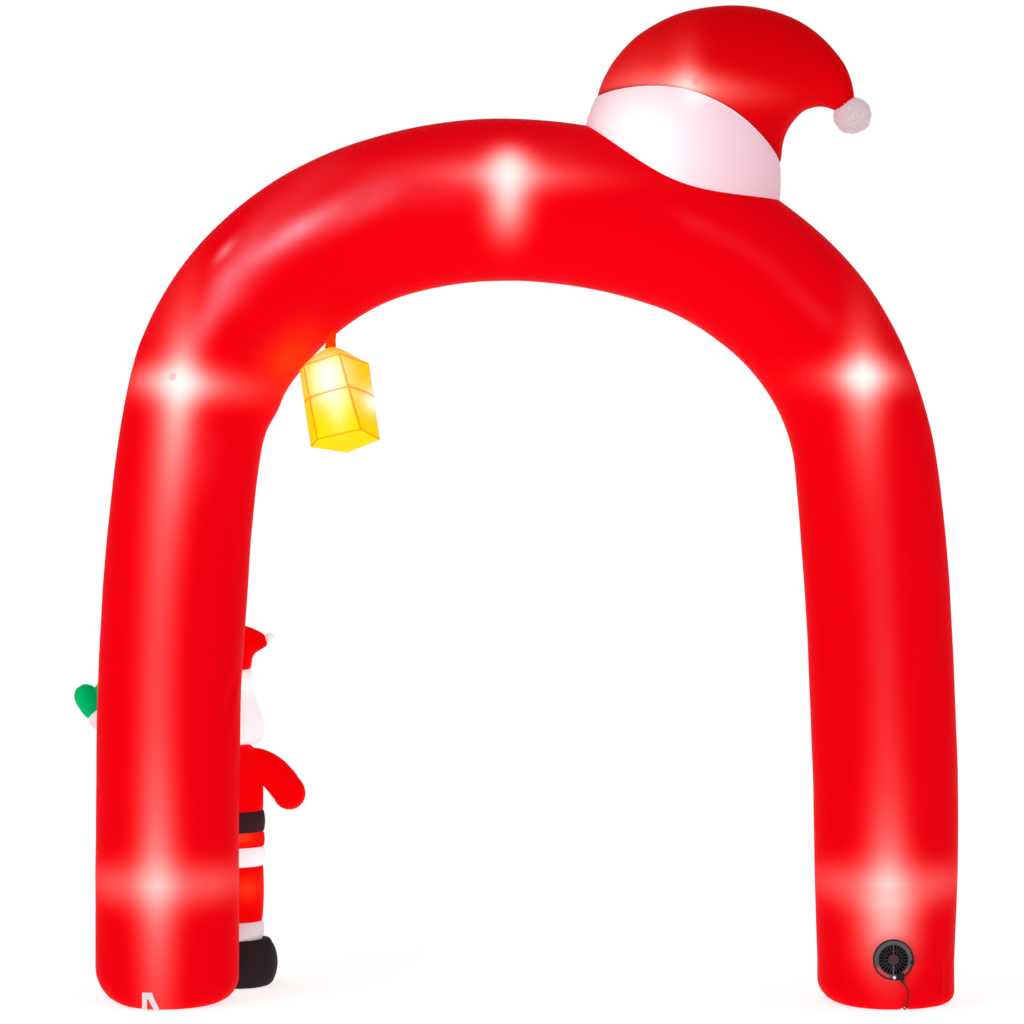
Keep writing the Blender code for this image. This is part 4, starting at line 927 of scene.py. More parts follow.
def cloth_material(
    name, colour, roughness, painted_glow=None, lights=(), wrinkle=0.0010, far_side=0.45, folds=None, shade=None
):
    """Woven polyester. It gives off an even painted glow, and more painted light from each of the lights.

    Each of the lights is a group of painted light patches and their glow: lamps behind the cloth, painted
    sheen and the lantern's cast light. The shade, where given, scales its colour and glow: painted shade
    where it is below 1 and a painted highlight where it is above 1.
    """
    material, shader, where = start_material(name, colour, roughness, specular=0.004, light=painted_glow)
    height = add_group(where.tree, WEAVE_GROUP, {"Vector": where["UV"], "Wrinkle Height": wrinkle})
    add_bump(shader, folds(where["Object"]) + height if folds else height)
    give = painted_glow
    for i, (lamps, glow) in enumerate(lights):
        give = lit_by(where["Object"], lamps, glow, give, far_side, i > 0)
    if shade:
        factor = shade(where)
        feed(shader["Base Color"], scaled(colour, factor))
        give = scaled(give, factor)
    if lights:
        feed(shader["Emission Color"], give)
    return material


def plastic_material(name, colour, roughness=0.45, metallic=0.0, grain=0.00008):
    specular = 0.5 if metallic or colour[0] > 0.5 else 0.22
    material, shader, where = start_material(name, colour, roughness, metallic, specular)
    inputs = {"Vector": where["Object"], "Height": grain, "Roughness": roughness}
    height = add_group(where.tree, PLASTIC_GROUP, inputs)
    feed(shader["Roughness"], height["Roughness"])
    add_bump(shader, height)
    return material


def real_faces(tree, instances, material):
    """Instances made real and painted, as a Geometry Nodes tree ends."""
    real = add_node(tree, "GeometryNodeRealizeInstances", {"Geometry": instances})
    return {"Geometry": add_node(tree, "GeometryNodeSetMaterial", {"Geometry": real, "Material": material})}


def build_stitches(tree, given):
    """Lays stitches along a path."""
    inputs = {"Curve": given["Geometry"], "Length": given["Pitch"]}
    points = add_node(tree, "GeometryNodeCurveToPoints", inputs, mode="LENGTH")
    inputs = {"Vertices": 6, "Radius": given["Radius"], "Depth": given["Length"]}
    thread = add_node(tree, "GeometryNodeMeshCylinder", inputs)
    turn = add_node(tree, "FunctionNodeAlignRotationToVector", {"Vector": points["Tangent"]}, axis="Z")
    inputs = {"Points": points["Points"], "Instance": thread, "Rotation": turn}
    return real_faces(tree, add_node(tree, "GeometryNodeInstanceOnPoints", inputs), given["Material"])


def build_fleece(tree, given):
    """Covers a skin with short curly tufts."""
    skin, seed = given["Geometry"], given["Seed"]
    inputs = {"Geometry": skin, "Attribute": add_node(tree, "GeometryNodeInputMeshFaceArea")}
    area = add_node(tree, "GeometryNodeAttributeStatistic", inputs, domain="FACE")["Sum"]
    inputs = {"Mesh": skin, "Density": given["Count"] / area, "Seed": seed}
    spread = add_node(tree, "GeometryNodeDistributePointsOnFaces", inputs)
    inputs = {"Vertices": 4, "Side Segments": 3, "Radius Top": 0.0006, "Radius Bottom": 0.0021}
    tuft = add_node(tree, "GeometryNodeMeshCone", inputs | {"Depth": given["Length"]})
    sink = add_node(tree, "ShaderNodeCombineXYZ", {"Z": given["Length"] * -0.25})
    tuft = add_node(tree, "GeometryNodeTransform", {"Geometry": tuft, "Translation": sink})
    tuft = add_node(tree, "GeometryNodeSetShadeSmooth", {"Geometry": tuft})
    inputs = {0: (-0.8, -0.8, -0.8), 1: (0.8, 0.8, 0.8), "Seed": seed}
    lean = add_node(tree, "FunctionNodeRandomValue", inputs, data_type="FLOAT_VECTOR")
    aim = {"Vector": vector_sum(spread["Normal"], lean)}
    turn = add_node(tree, "FunctionNodeAlignRotationToVector", aim, axis="Z")
    size = add_node(tree, "FunctionNodeRandomValue", {2: 0.6, 3: 1.15, "Seed": seed}, data_type="FLOAT")[1]
    inputs = {"Points": spread, "Instance": tuft, "Rotation": turn, "Scale": size}
    return real_faces(tree, add_node(tree, "GeometryNodeInstanceOnPoints", inputs), given["Material"])


STITCH_TREE = (
    "stitches",
    {"Geometry": "Geometry", "Pitch": 0.005, "Length": 0.0034, "Radius": 0.00035, "Material": "Material"},
    build_stitches,
)
FLEECE_TREE = (
    "fleece",
    {"Geometry": "Geometry", "Count": 2000, "Length": 0.008, "Seed": 1, "Material": "Material"},
    build_fleece,
)


def run_tree(obj, group, values):
    """The plain mesh that a Geometry Nodes tree makes of an object, which is then removed."""
    tree = group_tree(*group, kind="GeometryNodeTree")
    modifier = obj.modifiers.new(tree.name, "NODES")
    modifier.node_group = tree
    for item in tree.interface.items_tree:
        if item.in_out == "INPUT" and item.name in values:
            modifier[item.identifier] = values[item.name]
    return baked(obj)


def sew(name, paths, material):
    """Stitches along paths given in the arch's own frame, as one piece of the arch."""
    trim = bpy.context.scene.arch_trim
    values = {"Pitch": trim.pitch, "Length": trim.length, "Radius": trim.radius, "Material": material}
    mesh = run_tree(path_object(name + "_path", paths), STITCH_TREE, values)
    move_mesh(mesh, -1)
    return settle(link(name, mesh))


# ---------------------------------------------------------------- the tube
def tube_half_depth(z):
    return LEG_HALF_DEPTH + (CROWN_HALF_DEPTH - LEG_HALF_DEPTH) * blend_step(z, CROWN_FROM_Z, CROWN_FULL_Z)


def tube_line(pitch):
    """Evenly spaced places on the tube's middle line: x, z, half width and direction of each."""
    dense = np.array(smooth_rows(ARCH_LINE, 40))
    lengths = np.concatenate(([0.0], np.cumsum(np.hypot(*np.diff(dense[:, :2], axis=0).T))))
    even = np.linspace(0.0, lengths[-1], int(lengths[-1] / pitch) + 1)
    x, z, half_width = (np.interp(even, lengths, dense[:, k]) for k in range(3))
    along = columns(np.gradient(x), np.gradient(z))
    along[0] = (0.0, 1.0)
    along[-1] = (0.0, -1.0)
    return x, z, half_width, along / np.linalg.norm(along, axis=1, keepdims=True)


def tube_share(points):
    """How far out of the tube's middle each point is: 1 on its skin, less inside."""
    x, z, half_width, along = tube_line(0.006)
    flat = points.reshape(-1, 3)
    dx, dz = flat[:, 0:1] - x, flat[:, 2:3] - z
    nearest = (dx * dx + dz * dz).argmin(axis=1)
    pick = np.arange(len(flat))
    out = -dx[pick, nearest] * along[nearest, 1] + dz[pick, nearest] * along[nearest, 0]
    share = np.hypot(out / half_width[nearest], flat[:, 1] / tube_half_depth(z[nearest]))
    return share.reshape(points.shape[:-1])


def foot_grid(station, foot, outward, sides):
    """Rings from the middle of a leg's flat base up its round edge."""
    angle = turns(sides)
    side = outward * np.cos(angle)
    radius = foot.near + (np.where(side > 0, foot.right, foot.left) - foot.near) * side**2
    rings = []
    for turn in np.linspace(0.0, math.pi / 2, FOOT_STEPS + 1):
        inset = radius * (1 - math.sin(turn))
        x = station.x + (station.half_width - inset) * side
        rings.append(columns(x, (LEG_HALF_DEPTH - inset) * np.sin(angle), radius * (1 - math.cos(turn))))
    return np.array(shrunk(rings[0], BASE_RINGS)[::-1] + rings)


def tube_grid(sides, pitch):
    x, z, half_width, along = tube_line(pitch)
    rings = [
        ring_of((px, 0, pz), (-turn[1], 0, turn[0]), (0, 1, 0), width, depth, sides)
        for px, pz, width, turn, depth in zip(x, z, half_width, along, tube_half_depth(z))
    ]
    left = foot_grid(ARCH_LINE[0], LEFT_FOOT, -1, sides)
    right = foot_grid(ARCH_LINE[-1], RIGHT_FOOT, 1, sides)
    return np.concatenate((left, rings, right[::-1]))


def make_finer(mesh, is_wanted):
    """Divides the faces whose middles the test picks."""
    with editing(mesh) as bm:
        wanted = {face.index for face in bm.faces if is_wanted(face.calc_center_median())}
        edges = [edge for edge in bm.edges if any(face.index in wanted for face in edge.link_faces)]
        bmesh.ops.subdivide_edges(bm, edges=edges, cuts=3, use_grid_fill=True)


def is_by_seat(place):
    from_blower = math.hypot(place.x - BLOWER_X, place.z - BLOWER_Z)
    return place.y < NEAR_SIDE_Y and from_blower < SEAT_PATCH


def crease_shift(points, normals):
    """Depth of the creases at each point, below zero in a trough and above it on its two ridges."""
    shift = 0.0
    for crease in CREASES:
        dx, dz = points[:, 0] - crease.x, points[:, 2] - crease.z
        turn = math.radians(crease.turn)
        a = dx * math.cos(turn) + dz * math.sin(turn)
        share = (dz * math.cos(turn) - dx * math.sin(turn) + CREASE_BEND * a * a) / crease.width
        facing = blend_step(normals[:, 1] * crease.side, 0.02, 0.35)
        trough = (1 - share**2) * np.exp(-(share**2) / 2) * hump(a, crease.length)
        shift = shift - crease.depth * trough * facing
    return shift


def calm_places(x, y, z):
    """0 where another piece lies against the tube and the cloth stays even, 1 elsewhere."""
    hat_x, hat_half_width, hat_low = 0.52, 0.36, 2.27
    figure_half_width, figure_near, figure_high = 0.20, 0.10, 1.20
    blower_radius, hanger_radius, hanger_z = 0.10, 0.05, 2.07
    from_hat = np.maximum(np.abs(x - hat_x) - hat_half_width, hat_low - z) / 0.08
    beside_figure = np.maximum(np.abs(x - FIGURE_AT[0]) - figure_half_width, figure_near - y)
    from_figure = np.maximum(beside_figure, z - figure_high) / 0.08
    from_blower = (np.hypot(x - BLOWER_X, z - BLOWER_Z) - blower_radius + np.maximum(y, 0.0)) / 0.07
    from_hanger = (np.hypot(x - HANGER_TOP[0], z - hanger_z) - hanger_radius) / 0.05
    return blend_step(np.minimum.reduce((from_hat, from_figure, from_blower, from_hanger)), 0.0, 1.0)


def foot_folds(x, y, z):
    """Small upright folds where the legs are sewn to their flat bases."""
    angle = np.arctan2(y, x - np.where(x < 0, ARCH_LINE[0].x, ARCH_LINE[-1].x))
    shape = np.sin(41 * angle + 2.2 * np.sin(5 * angle)) * (0.55 + 0.45 * np.sin(9 * angle + 1.0))
    return 0.0018 * shape * np.exp(-np.maximum(z - 0.02, 0.0) / 0.045) * blend_step(z, 0.002, 0.02)


def shape_tube(mesh, waviness):
    """Lays the creases, the unevenness, the feet's folds and the groove of the lead in the skin."""
    points, normals = read_mesh(mesh, "co"), read_mesh(mesh, "normal")
    x, y, z = points.T.copy()
    soft = noise_at(points, WAVE_SCALE) + RIPPLE_SHARE * noise_at(points, RIPPLE_SCALE, seed=7.0)
    shift = soft * waviness * blend_step(z, 0.02, 0.20) + crease_shift(points, normals) + foot_folds(x, y, z)
    shift += ELBOW_HEIGHT * hump(np.hypot(x - ELBOW_AT[0], z - ELBOW_AT[1]), ELBOW_REACH)
    from_cord = np.hypot(x - GROOVE_X, np.minimum(y + 0.2, 0.0))
    shift *= np.where((y < 0) & (z < 0.12), blend_step(from_cord, 0.004, CORD_CLEAR), 1.0)
    points += normals * (shift * calm_places(x, y, z))[:, None]
    x, y, z = points.T
    lift = GROOVE_LIFT * hump(x - GROOVE_X, GROOVE_WIDTH) * (1 - blend_step(z, 0.004, 0.030))
    points[:, 2] = np.maximum(z, 0.0) + lift
    set_points(mesh, points)


def draw_in_seat(mesh):
    """Draws the cloth in to the blower's round seat, in puckers, and opens the hole in its middle."""
    points = read_mesh(mesh, "co")
    dx, dz = points[:, 0] - BLOWER_X, points[:, 2] - BLOWER_Z
    radius, angle = np.hypot(dx, dz), np.arctan2(dz, dx)
    near = points[:, 1] < NEAR_SIDE_Y
    folds = np.sin(PUCKER_COUNT * (angle + 0.10 * np.sin(5 * angle))) * (0.6 + 0.4 * np.sin(7 * angle + 0.7))
    low = 0.55 + 0.45 * blend_step(-dz, -0.03, 0.05)  # the folds are deeper below the blower
    from_cord = np.hypot(dx - (GROOVE_X - BLOWER_X), np.maximum(dz + 0.05, 0.0))
    room = blend_step(np.where(dz < 0, from_cord, 1.0), 0.006, 0.030)
    height = PUCKER_DEPTH * folds * low * room * hump(radius - PUCKER_RING, PUCKER_REACH)
    share = blend_step(radius, SEAT_FLAT, SEAT_BLEND)
    drawn = SEAT_Y + (points[:, 1] - SEAT_Y) * share - np.where(radius > SEAT_FLAT, height, 0.0)
    wide = SEAT_HOLE + (radius - SEAT_OPEN) * (SEAT_FLAT - SEAT_HOLE) / (SEAT_FLAT - SEAT_OPEN)
    scale = np.maximum(wide, SEAT_HOLE) / np.maximum(radius, 1e-6)
    scale = np.where(near & (radius < SEAT_FLAT), scale, 1.0)
    points[:, 1] = np.where(near & (radius < SEAT_PATCH), drawn, points[:, 1])
    points[:, 0] = BLOWER_X + dx * scale
    points[:, 2] = BLOWER_Z + dz * scale
    set_points(mesh, points)
    is_hole = near & (radius < SEAT_OPEN)
    with editing(mesh) as bm:
        inner = [face for face in bm.faces if all(is_hole[vert.index] for vert in face.verts)]
        bmesh.ops.delete(bm, geom=inner, context="FACES")
        rim = [edge for edge in bm.edges if edge.is_boundary]
        for vert in {vert for edge in rim for vert in edge.verts}:
            off = Vector((vert.co.x - BLOWER_X, vert.co.z - BLOWER_Z)).normalized() * SEAT_HOLE
            vert.co = (BLOWER_X + off.x, SEAT_Y, BLOWER_Z + off.y)
        made = bmesh.ops.extrude_edge_only(bm, edges=rim)["geom"]
        for vert in (item for item in made if isinstance(item, bmesh.types.BMVert)):
            vert.co.y = SEAT_Y + SEAT_CAVITY
        inner_rim = [item for item in made if isinstance(item, bmesh.types.BMEdge)]
        bmesh.ops.holes_fill(bm, edges=inner_rim, sides=0)
        bmesh.ops.recalc_face_normals(bm, faces=bm.faces)


def blower_place(where):
    """X and Z from the blower's middle, and whether the place is on the near side."""
    x, y, z = axes(where)
    return x - (BLOWER_X - FOOTPRINT_CENTRE[0]), z - BLOWER_Z, maths("LESS_THAN", y, -FOOTPRINT_CENTRE[1])


def painted_seat_shade(where):
    """Painted shade in an arc over the blower's rim, where the cloth is drawn in."""
    x, z, is_near = blower_place(where["Object"])
    arc = bell(distance_of(x, z) - SHADE_RADIUS, SHADE_REACH) * ranged(z, -0.02, 0.05, 0.25, 1.0)
    return 1.0 - arc * is_near * SHADE_STRENGTH


def seat_puckers(where):
    """The height of fine folds that run out from the blower."""
    x, z, _ = blower_place(where)
    angle = maths("ARCTAN2", z, x)
    folds = maths("SINE", (maths("SINE", angle * 5.0) * 0.12 + angle) * FINE_PUCKER_COUNT)
    return folds * bell(distance_of(x, z) - FINE_PUCKER_RING, PUCKER_REACH) * FINE_PUCKER_DEPTH


def painted_seam_shading(place, reach, strength):
    """Painted shading along a seam across a skin, from its place up the skin, its reach and its strength:
    painted shade where the strength is below zero, a painted highlight where it is above.
    """
    return lambda where: bell(axes(where["UV"])[1] - place, reach) * strength + 1.0


class ARCH_OT_tube(bpy.types.Operator):
    """Make the cloth tube: two legs and the crown, its creases, feet and blower seat"""

    bl_idname = "arch.tube"
    bl_label = "Tube"

    def execute(self, context):
        settings = context.scene.arch_tube
        coarse = 1
        mesh = skin_mesh("tube_skin", tube_grid(settings.sides // coarse, settings.pitch * coarse))
        make_finer(mesh, is_by_seat)
        make_finer(mesh, lambda at: abs(at.x - GROOVE_X) < GROOVE_PATCH and at.z < GROOVE_TOP)
        shape_tube(mesh, settings.waviness)
        draw_in_seat(mesh)
        # Painted light on the tube: its even painted glow, the glow of its lamps, painted sheen where the
        # studio light falls on it, the lantern's painted light beside it and painted shade over the blower's
        # rim.
        lights = ((PAINTED_LIGHTS["tube"], RED_GLOW), (PAINTED_LIGHTS["sheen"], PINK_GLOW), (PAINTED_LIGHTS["by lantern"], ORANGE_GLOW))
        red = cloth_material(
            "red_polyester", (0.80, 0.0003, 0.0045), 0.42, (0.105, 0.0, 0.0015), lights, folds=seat_puckers,
            shade=painted_seat_shade,
        )
        add_piece("tube_skin", mesh, red, ["arch_tube"])
        return {"FINISHED"}


# ---------------------------------------------------------------- the hat
def end_at_tube(grid, share=0.992):
    """The skin cut off just inside the tube's own, with as many rings as before."""
    depth = tube_share(grid)
    rings, sides = depth.shape
    found = np.empty_like(grid)
    for j in range(sides):
        hidden = np.nonzero(depth[:, j] < share)[0]
        start = hidden.max() if len(hidden) else 0
        if len(hidden) and start < rings - 1:
            low, high = depth[start, j], depth[start + 1, j]
            start += (share - low) / (high - low)
        places = np.linspace(start, rings - 1, rings)
        for axis in range(3):
            found[:, j, axis] = np.interp(places, np.arange(rings), grid[:, j, axis])
    return found


def lumpy_ball(name, centre, radius, sides, rough, squash=1.0):
    """A ball with soft lumps as a mesh in the arch's own frame."""
    centre, around = np.array(centre), turns(sides)
    down = np.linspace(0, math.pi, sides // 2 + 1)[:, None]
    points = columns(np.sin(down) * np.cos(around), np.sin(down) * np.sin(around), np.cos(down))
    lumps = 1 + rough * (noise_at(points, 2.2, centre * 9) + 0.5 * noise_at(points, 6.0))
    ball = centre + points * (1, 1, squash) * radius * lumps[..., None]
    return skin_mesh(name, ball[1:-1], ball[[0, -1], 0])


def fleece_material(name, colour):
    # The light it gives off is a painted glow that flattens its shading.
    material, shader, where = start_material(name, colour, 0.95, specular=0.1, light=(0.26, 0.205, 0.22))
    shader["Sheen Weight"].default_value = 0.35
    curls = noise_of(where["Object"], 130.0, 3.0)
    add_bump(shader, curls * 0.0010)
    dark = [0.94 * c for c in colour]
    feed(shader["Base Color"], mixed(ranged(curls, 0.30, 0.62), dark, colour))
    return material


class ARCH_OT_hat(bpy.types.Operator):
    """Make the giant hat: its band, crown and pompom"""

    bl_idname = "arch.hat"
    bl_label = "Hat"

    def execute(self, context):
        sides = 176
        band = swell(end_at_tube(hat_grid(HAT_BAND, 0.0, sides, steps=16)), height=0.002)
        band = seam_gathers(band, reach=0.022, depth=0.0020, pitch=0.026, pinch=0.002, ends=(False, True))
        rim = float(row_lengths(band)[-1])
        # The band has an even painted glow, the painted glow of the hat's lamp and a painted highlight along
        # its top rim.
        white = cloth_material(
            "white_polyester", (0.78, 0.55, 0.62), 0.5, (0.14, 0.06, 0.08), ((PAINTED_LIGHTS["band"], WHITE_GLOW),),
            wrinkle=0.0006, shade=painted_seam_shading(rim, 0.004, 0.22),
        )
        add_piece("hat_band_cloth", band, white, ["hat_band"])
        crown = hat_grid(HAT_CROWN, 0.0, sides, steps=9)
        crown = pushed(crown, noise_at(crown, scale=4.5, seed=2.0) * 0.004)
        crown = seam_gathers(
            crown, reach=0.030, depth=0.0030, pitch=0.026, pinch=0.003, seed=1.0, ends=(True, False)
        )
        crown = seam_gathers(
            crown, reach=0.040, depth=0.0022, pitch=0.020, pinch=0.0, seed=2.0, ends=(False, True)
        )
        # The crown has an even painted glow, the painted glow of its lamp and painted shade along its lower
        # seam, where it is drawn in.
        deep = cloth_material(
            "deep_red_polyester", (0.68, 0.0003, 0.003), 0.40, (0.080, 0.0, 0.0005),
            ((PAINTED_LIGHTS["hat"], DEEP_RED_GLOW),), shade=painted_seam_shading(0.0, 0.007, -0.45),
        )
        add_piece("hat_crown_cloth", crown, deep, ["hat_crown"])
        thread = plastic_material("red_thread", (0.55, 0.01, 0.02), roughness=0.7)
        sew("hat_seam_stitches", [(crown[2] + grid_normals(crown)[2] * 0.0004, True)], thread)
        fleece = context.scene.arch_fleece
        grey = fleece_material("grey_white_fleece", (0.54, 0.45, 0.47))
        core_radius = HAT_POMPOM_RADIUS * HAT_POMPOM_CORE
        ball = lumpy_ball("hat_pompom_ball", HAT_POMPOM_AT, core_radius, 48, rough=0.06, squash=0.96)
        core = add_piece("hat_pompom_ball", ball, grey, ["hat_pompom"])
        count = fleece.count
        values = {"Count": count, "Length": fleece.length, "Seed": fleece.seed, "Material": grey}
        pile = run_tree(link("hat_pompom_source", core.data.copy()), FLEECE_TREE, values)
        settle(link("hat_pompom_pile", pile))
        return {"FINISHED"}


# ---------------------------------------------------------------- the lantern
def lantern_ring(level):
    """The lantern's outline at a level from 0 at its base to 1 at its top, and the seam near each point."""
    base, top, rows = np.array(LANTERN_BASE), np.array(LANTERN_TOP), np.array(LANTERN_CORNERS)
    height = top[2] - base[2]
    flat = rows[:, 2:] + (rows[:, :2] - rows[:, 2:]) * level
    corners = base + (top - base) * level + columns(*flat.T, flat @ LANTERN_LEAN)
    share = np.arange(LANTERN_SIDE_STEPS) / LANTERN_SIDE_STEPS
    from_middle = abs(level - LANTERN_MIDDLE) * height
    from_ends = min(level, 1 - level) * height
    full = LANTERN_BULGE * (math.sin(math.pi * level) * np.sin(math.pi * share)) ** 0.7
    full *= 1.0 - SEAM_DIP * hump(from_middle, 0.014)
    ring, seams = [], []
    for i, corner in enumerate(corners):
        side = np.roll(corners, -1, axis=0)[i] - corner
        length = np.linalg.norm(side)
        outward = np.array((side[1], -side[0], 0)) / np.hypot(side[0], side[1])
        from_edge = np.minimum(share, 1 - share) * length
        edge_fold = math.sin(level * height / 0.0042 + i) * np.exp(-from_edge / 0.012)
        end_fold = np.sin(share * length / 0.0040 + 2 * i) * math.exp(-from_ends / 0.014)
        middle_fold = np.sin(share * length / 0.0036 + i) * math.exp(-from_middle / 0.010)
        folds = edge_fold * np.minimum(from_edge / 0.004, 1.0) + end_fold * min(from_ends / 0.004, 1.0)
        puff = (full + EDGE_FOLD * folds + MIDDLE_FOLD * middle_fold) * min(length / WIDE_SIDE, 1.0)
        ring.append(corner + side * share[:, None] + outward * puff[:, None])
        seams.append(hump(np.minimum(from_edge, min(from_middle, from_ends)), SEAM_HALF_WIDTH))
    return np.concatenate(ring), np.concatenate(seams)


def lantern_end(ring, peak, lift):
    """Rings that close the lantern's roof or base over to a peak."""
    steps = np.arange(len(ring)) % LANTERN_SIDE_STEPS
    bulge = columns(0, 0, lift * np.sin(math.pi * steps / LANTERN_SIDE_STEPS))
    return [peak + (ring - peak) * scale + bulge * math.sin(math.pi * scale) for scale in LANTERN_END_SCALES]


def yellow_material():
    """Yellow polyester, lit from inside, and orange along its seams."""
    yellow = (0.93, 0.56, 0.006)
    lights = ((PAINTED_LIGHTS["lantern"], YELLOW_GLOW),)
    material = cloth_material(
        "yellow_polyester", yellow, 0.5, (0.42, 0.29, 0.002), lights, wrinkle=0.0006, far_side=0.9
    )
    shader = material.node_tree.nodes["Principled BSDF"].inputs
    seam = add_node(material.node_tree, "ShaderNodeAttribute", attribute_name="seam")["Fac"] * 0.85
    lit = Value(shader["Emission Color"].links[0].from_socket)
    feed(shader["Base Color"], mixed(seam, yellow, (0.78, 0.20, 0.0)))
    feed(shader["Emission Color"], mixed(seam, lit, (0.34, 0.07, 0.0)))
    return material


class ARCH_OT_lantern(bpy.types.Operator):
    """Make the hanging lantern and the gathered cloth that it hangs by"""

    bl_idname = "arch.lantern"
    bl_label = "Lantern"

    def execute(self, context):
        sides, marks = zip(*(lantern_ring(i / LANTERN_LEVELS) for i in range(LANTERN_LEVELS + 1)))
        base = lantern_end(sides[0], sides[0].mean(axis=0) - np.array((0, 0, BASE_SAG)), -0.005)
        roof = lantern_end(sides[-1], np.array(LANTERN_PEAK), 0.008)
        mesh = skin_mesh("lantern_cloth", np.array([*base[::-1], *sides, *roof]))
        plain = np.zeros(len(LANTERN_END_SCALES) * len(sides[0]))
        seam = np.concatenate((plain, *marks, plain, (0.0, 0.0))).astype(np.float32)
        mesh.attributes.new("seam", "FLOAT", "POINT").data.foreach_set("value", seam)
        yellow = yellow_material()
        add_piece("lantern_cloth", mesh, yellow, ["lantern_body"], smooth=50.0)
        peak, top = Vector(LANTERN_PEAK), Vector(HANGER_TOP)
        up = (top - peak).normalized()
        path = (
            (peak - up * 0.008, 0.0, 1.30),
            (peak + up * 0.006, 0.0, 1.16),
            (peak + up * 0.018, 0.0, 1.02),
            (peak + up * 0.034, 0.003, 1.00),
            (top, 0.016, 0.95),
        )
        rows = [Joint(at.x, at.y + back, at.z, HANGER_RADIUS * share) for at, back, share in path]
        angle = turns(72)
        gathers = 0.0022 * np.sin(9 * angle + 1.5 * np.sin(3 * angle)) * (0.7 + 0.3 * np.sin(4 * angle))
        hanger = pushed(limb_grid(rows, 72, 8), gathers[None, :])
        # Its glow colour is an even painted glow.
        orange = cloth_material("orange_polyester", (0.80, 0.05, 0.003), 0.5, (0.16, 0.012, 0.0))
        add_piece("lantern_hanger_cloth", hanger, orange, ["lantern_hanger"])
        return {"FINISHED"}


# ---------------------------------------------------------------- the figure
def half_head_grid(is_front, sides=48, flat_steps=16):
    """The front or the back of the head, as a D-shaped section up its middle line."""
    angle = np.linspace(0, math.pi, sides + 1)
    back = -1 + 2 * np.arange(1, flat_steps) / flat_steps
    rings = []
    for row in smooth_rows(FIGURE_HEAD, 6):
        reach, width = -row.half_depth - FACE_SPLIT, row.half_width
        if is_front:
            reach = HEAD_FRONT - HEAD_HALF_DEPTH + row.half_depth - FACE_SPLIT
            width *= FACE_WIDTH_SHARE
        x = width * np.concatenate((np.cos(angle), back))
        y = np.concatenate((reach * np.sin(angle), np.zeros(len(back))))
        rings.append(columns(x + FIGURE_AT[0], y + FIGURE_AT[1] + FACE_SPLIT, row.z))
    return np.array(rings)


def paint_face(material, colour):
    """Two plain round eyes and a blush on each cheek."""
    x, _, z = axes(add_node(material.node_tree, "ShaderNodeTexCoord")["Object"])
    x = maths("ABSOLUTE", x - (FIGURE_AT[0] - FOOTPRINT_CENTRE[0]))
    marks = (
        (0.052, 0.902, 0.011, 0.0008, (0.012, 0.010, 0.012)),
        (0.086, 0.868, 0.022, 0.0100, (0.80, 0.22, 0.20)),
    )
    for across, height, radius, edge, mark in marks:
        distance = distance_of(x - across, z - height)
        colour = mixed(ranged(distance, radius, radius - edge), colour, mark)
    feed(material.node_tree.nodes["Principled BSDF"].inputs["Base Color"], colour)


def packed_mesh(node):
    """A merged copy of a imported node's mesh, in the arch's own frame."""
    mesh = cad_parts[node].data.copy()
    mesh.materials.clear()
    move_mesh(mesh, 1)
    with editing(mesh) as bm:
        bmesh.ops.remove_doubles(bm, verts=bm.verts, dist=0.00005)
    return mesh


def rounded(name, mesh):
    """A mesh's shape remade in small even faces and smoothed."""
    obj = link(name, mesh)
    remesh = obj.modifiers.new("remesh", "REMESH")
    remesh.mode = "VOXEL"
    remesh.voxel_size = 0.0028
    obj.modifiers.new("smooth", "SMOOTH").iterations = 14
    return baked(obj)


def limb(name, sides, steps):
    """Round sections along one of the figure's limbs."""
    return limb_grid([row._replace(y=row.y + FIGURE_AT[1]) for row in LIMBS[name]], sides, steps)


def left_mitten():
    """The raised hand and its thumb as one loose mesh, to be rounded."""
    mesh = bpy.data.meshes.new("mitten_left")
    with editing(mesh) as bm:
        for name in ("hand", "thumb"):
            bm.from_mesh(skin_mesh(name, limb(name, 40, 6)))
    return mesh


def add_to_figure(part, mesh, material):
    add_piece(f"figure_{part}_cloth", mesh, material, [f"figure_{part}"])


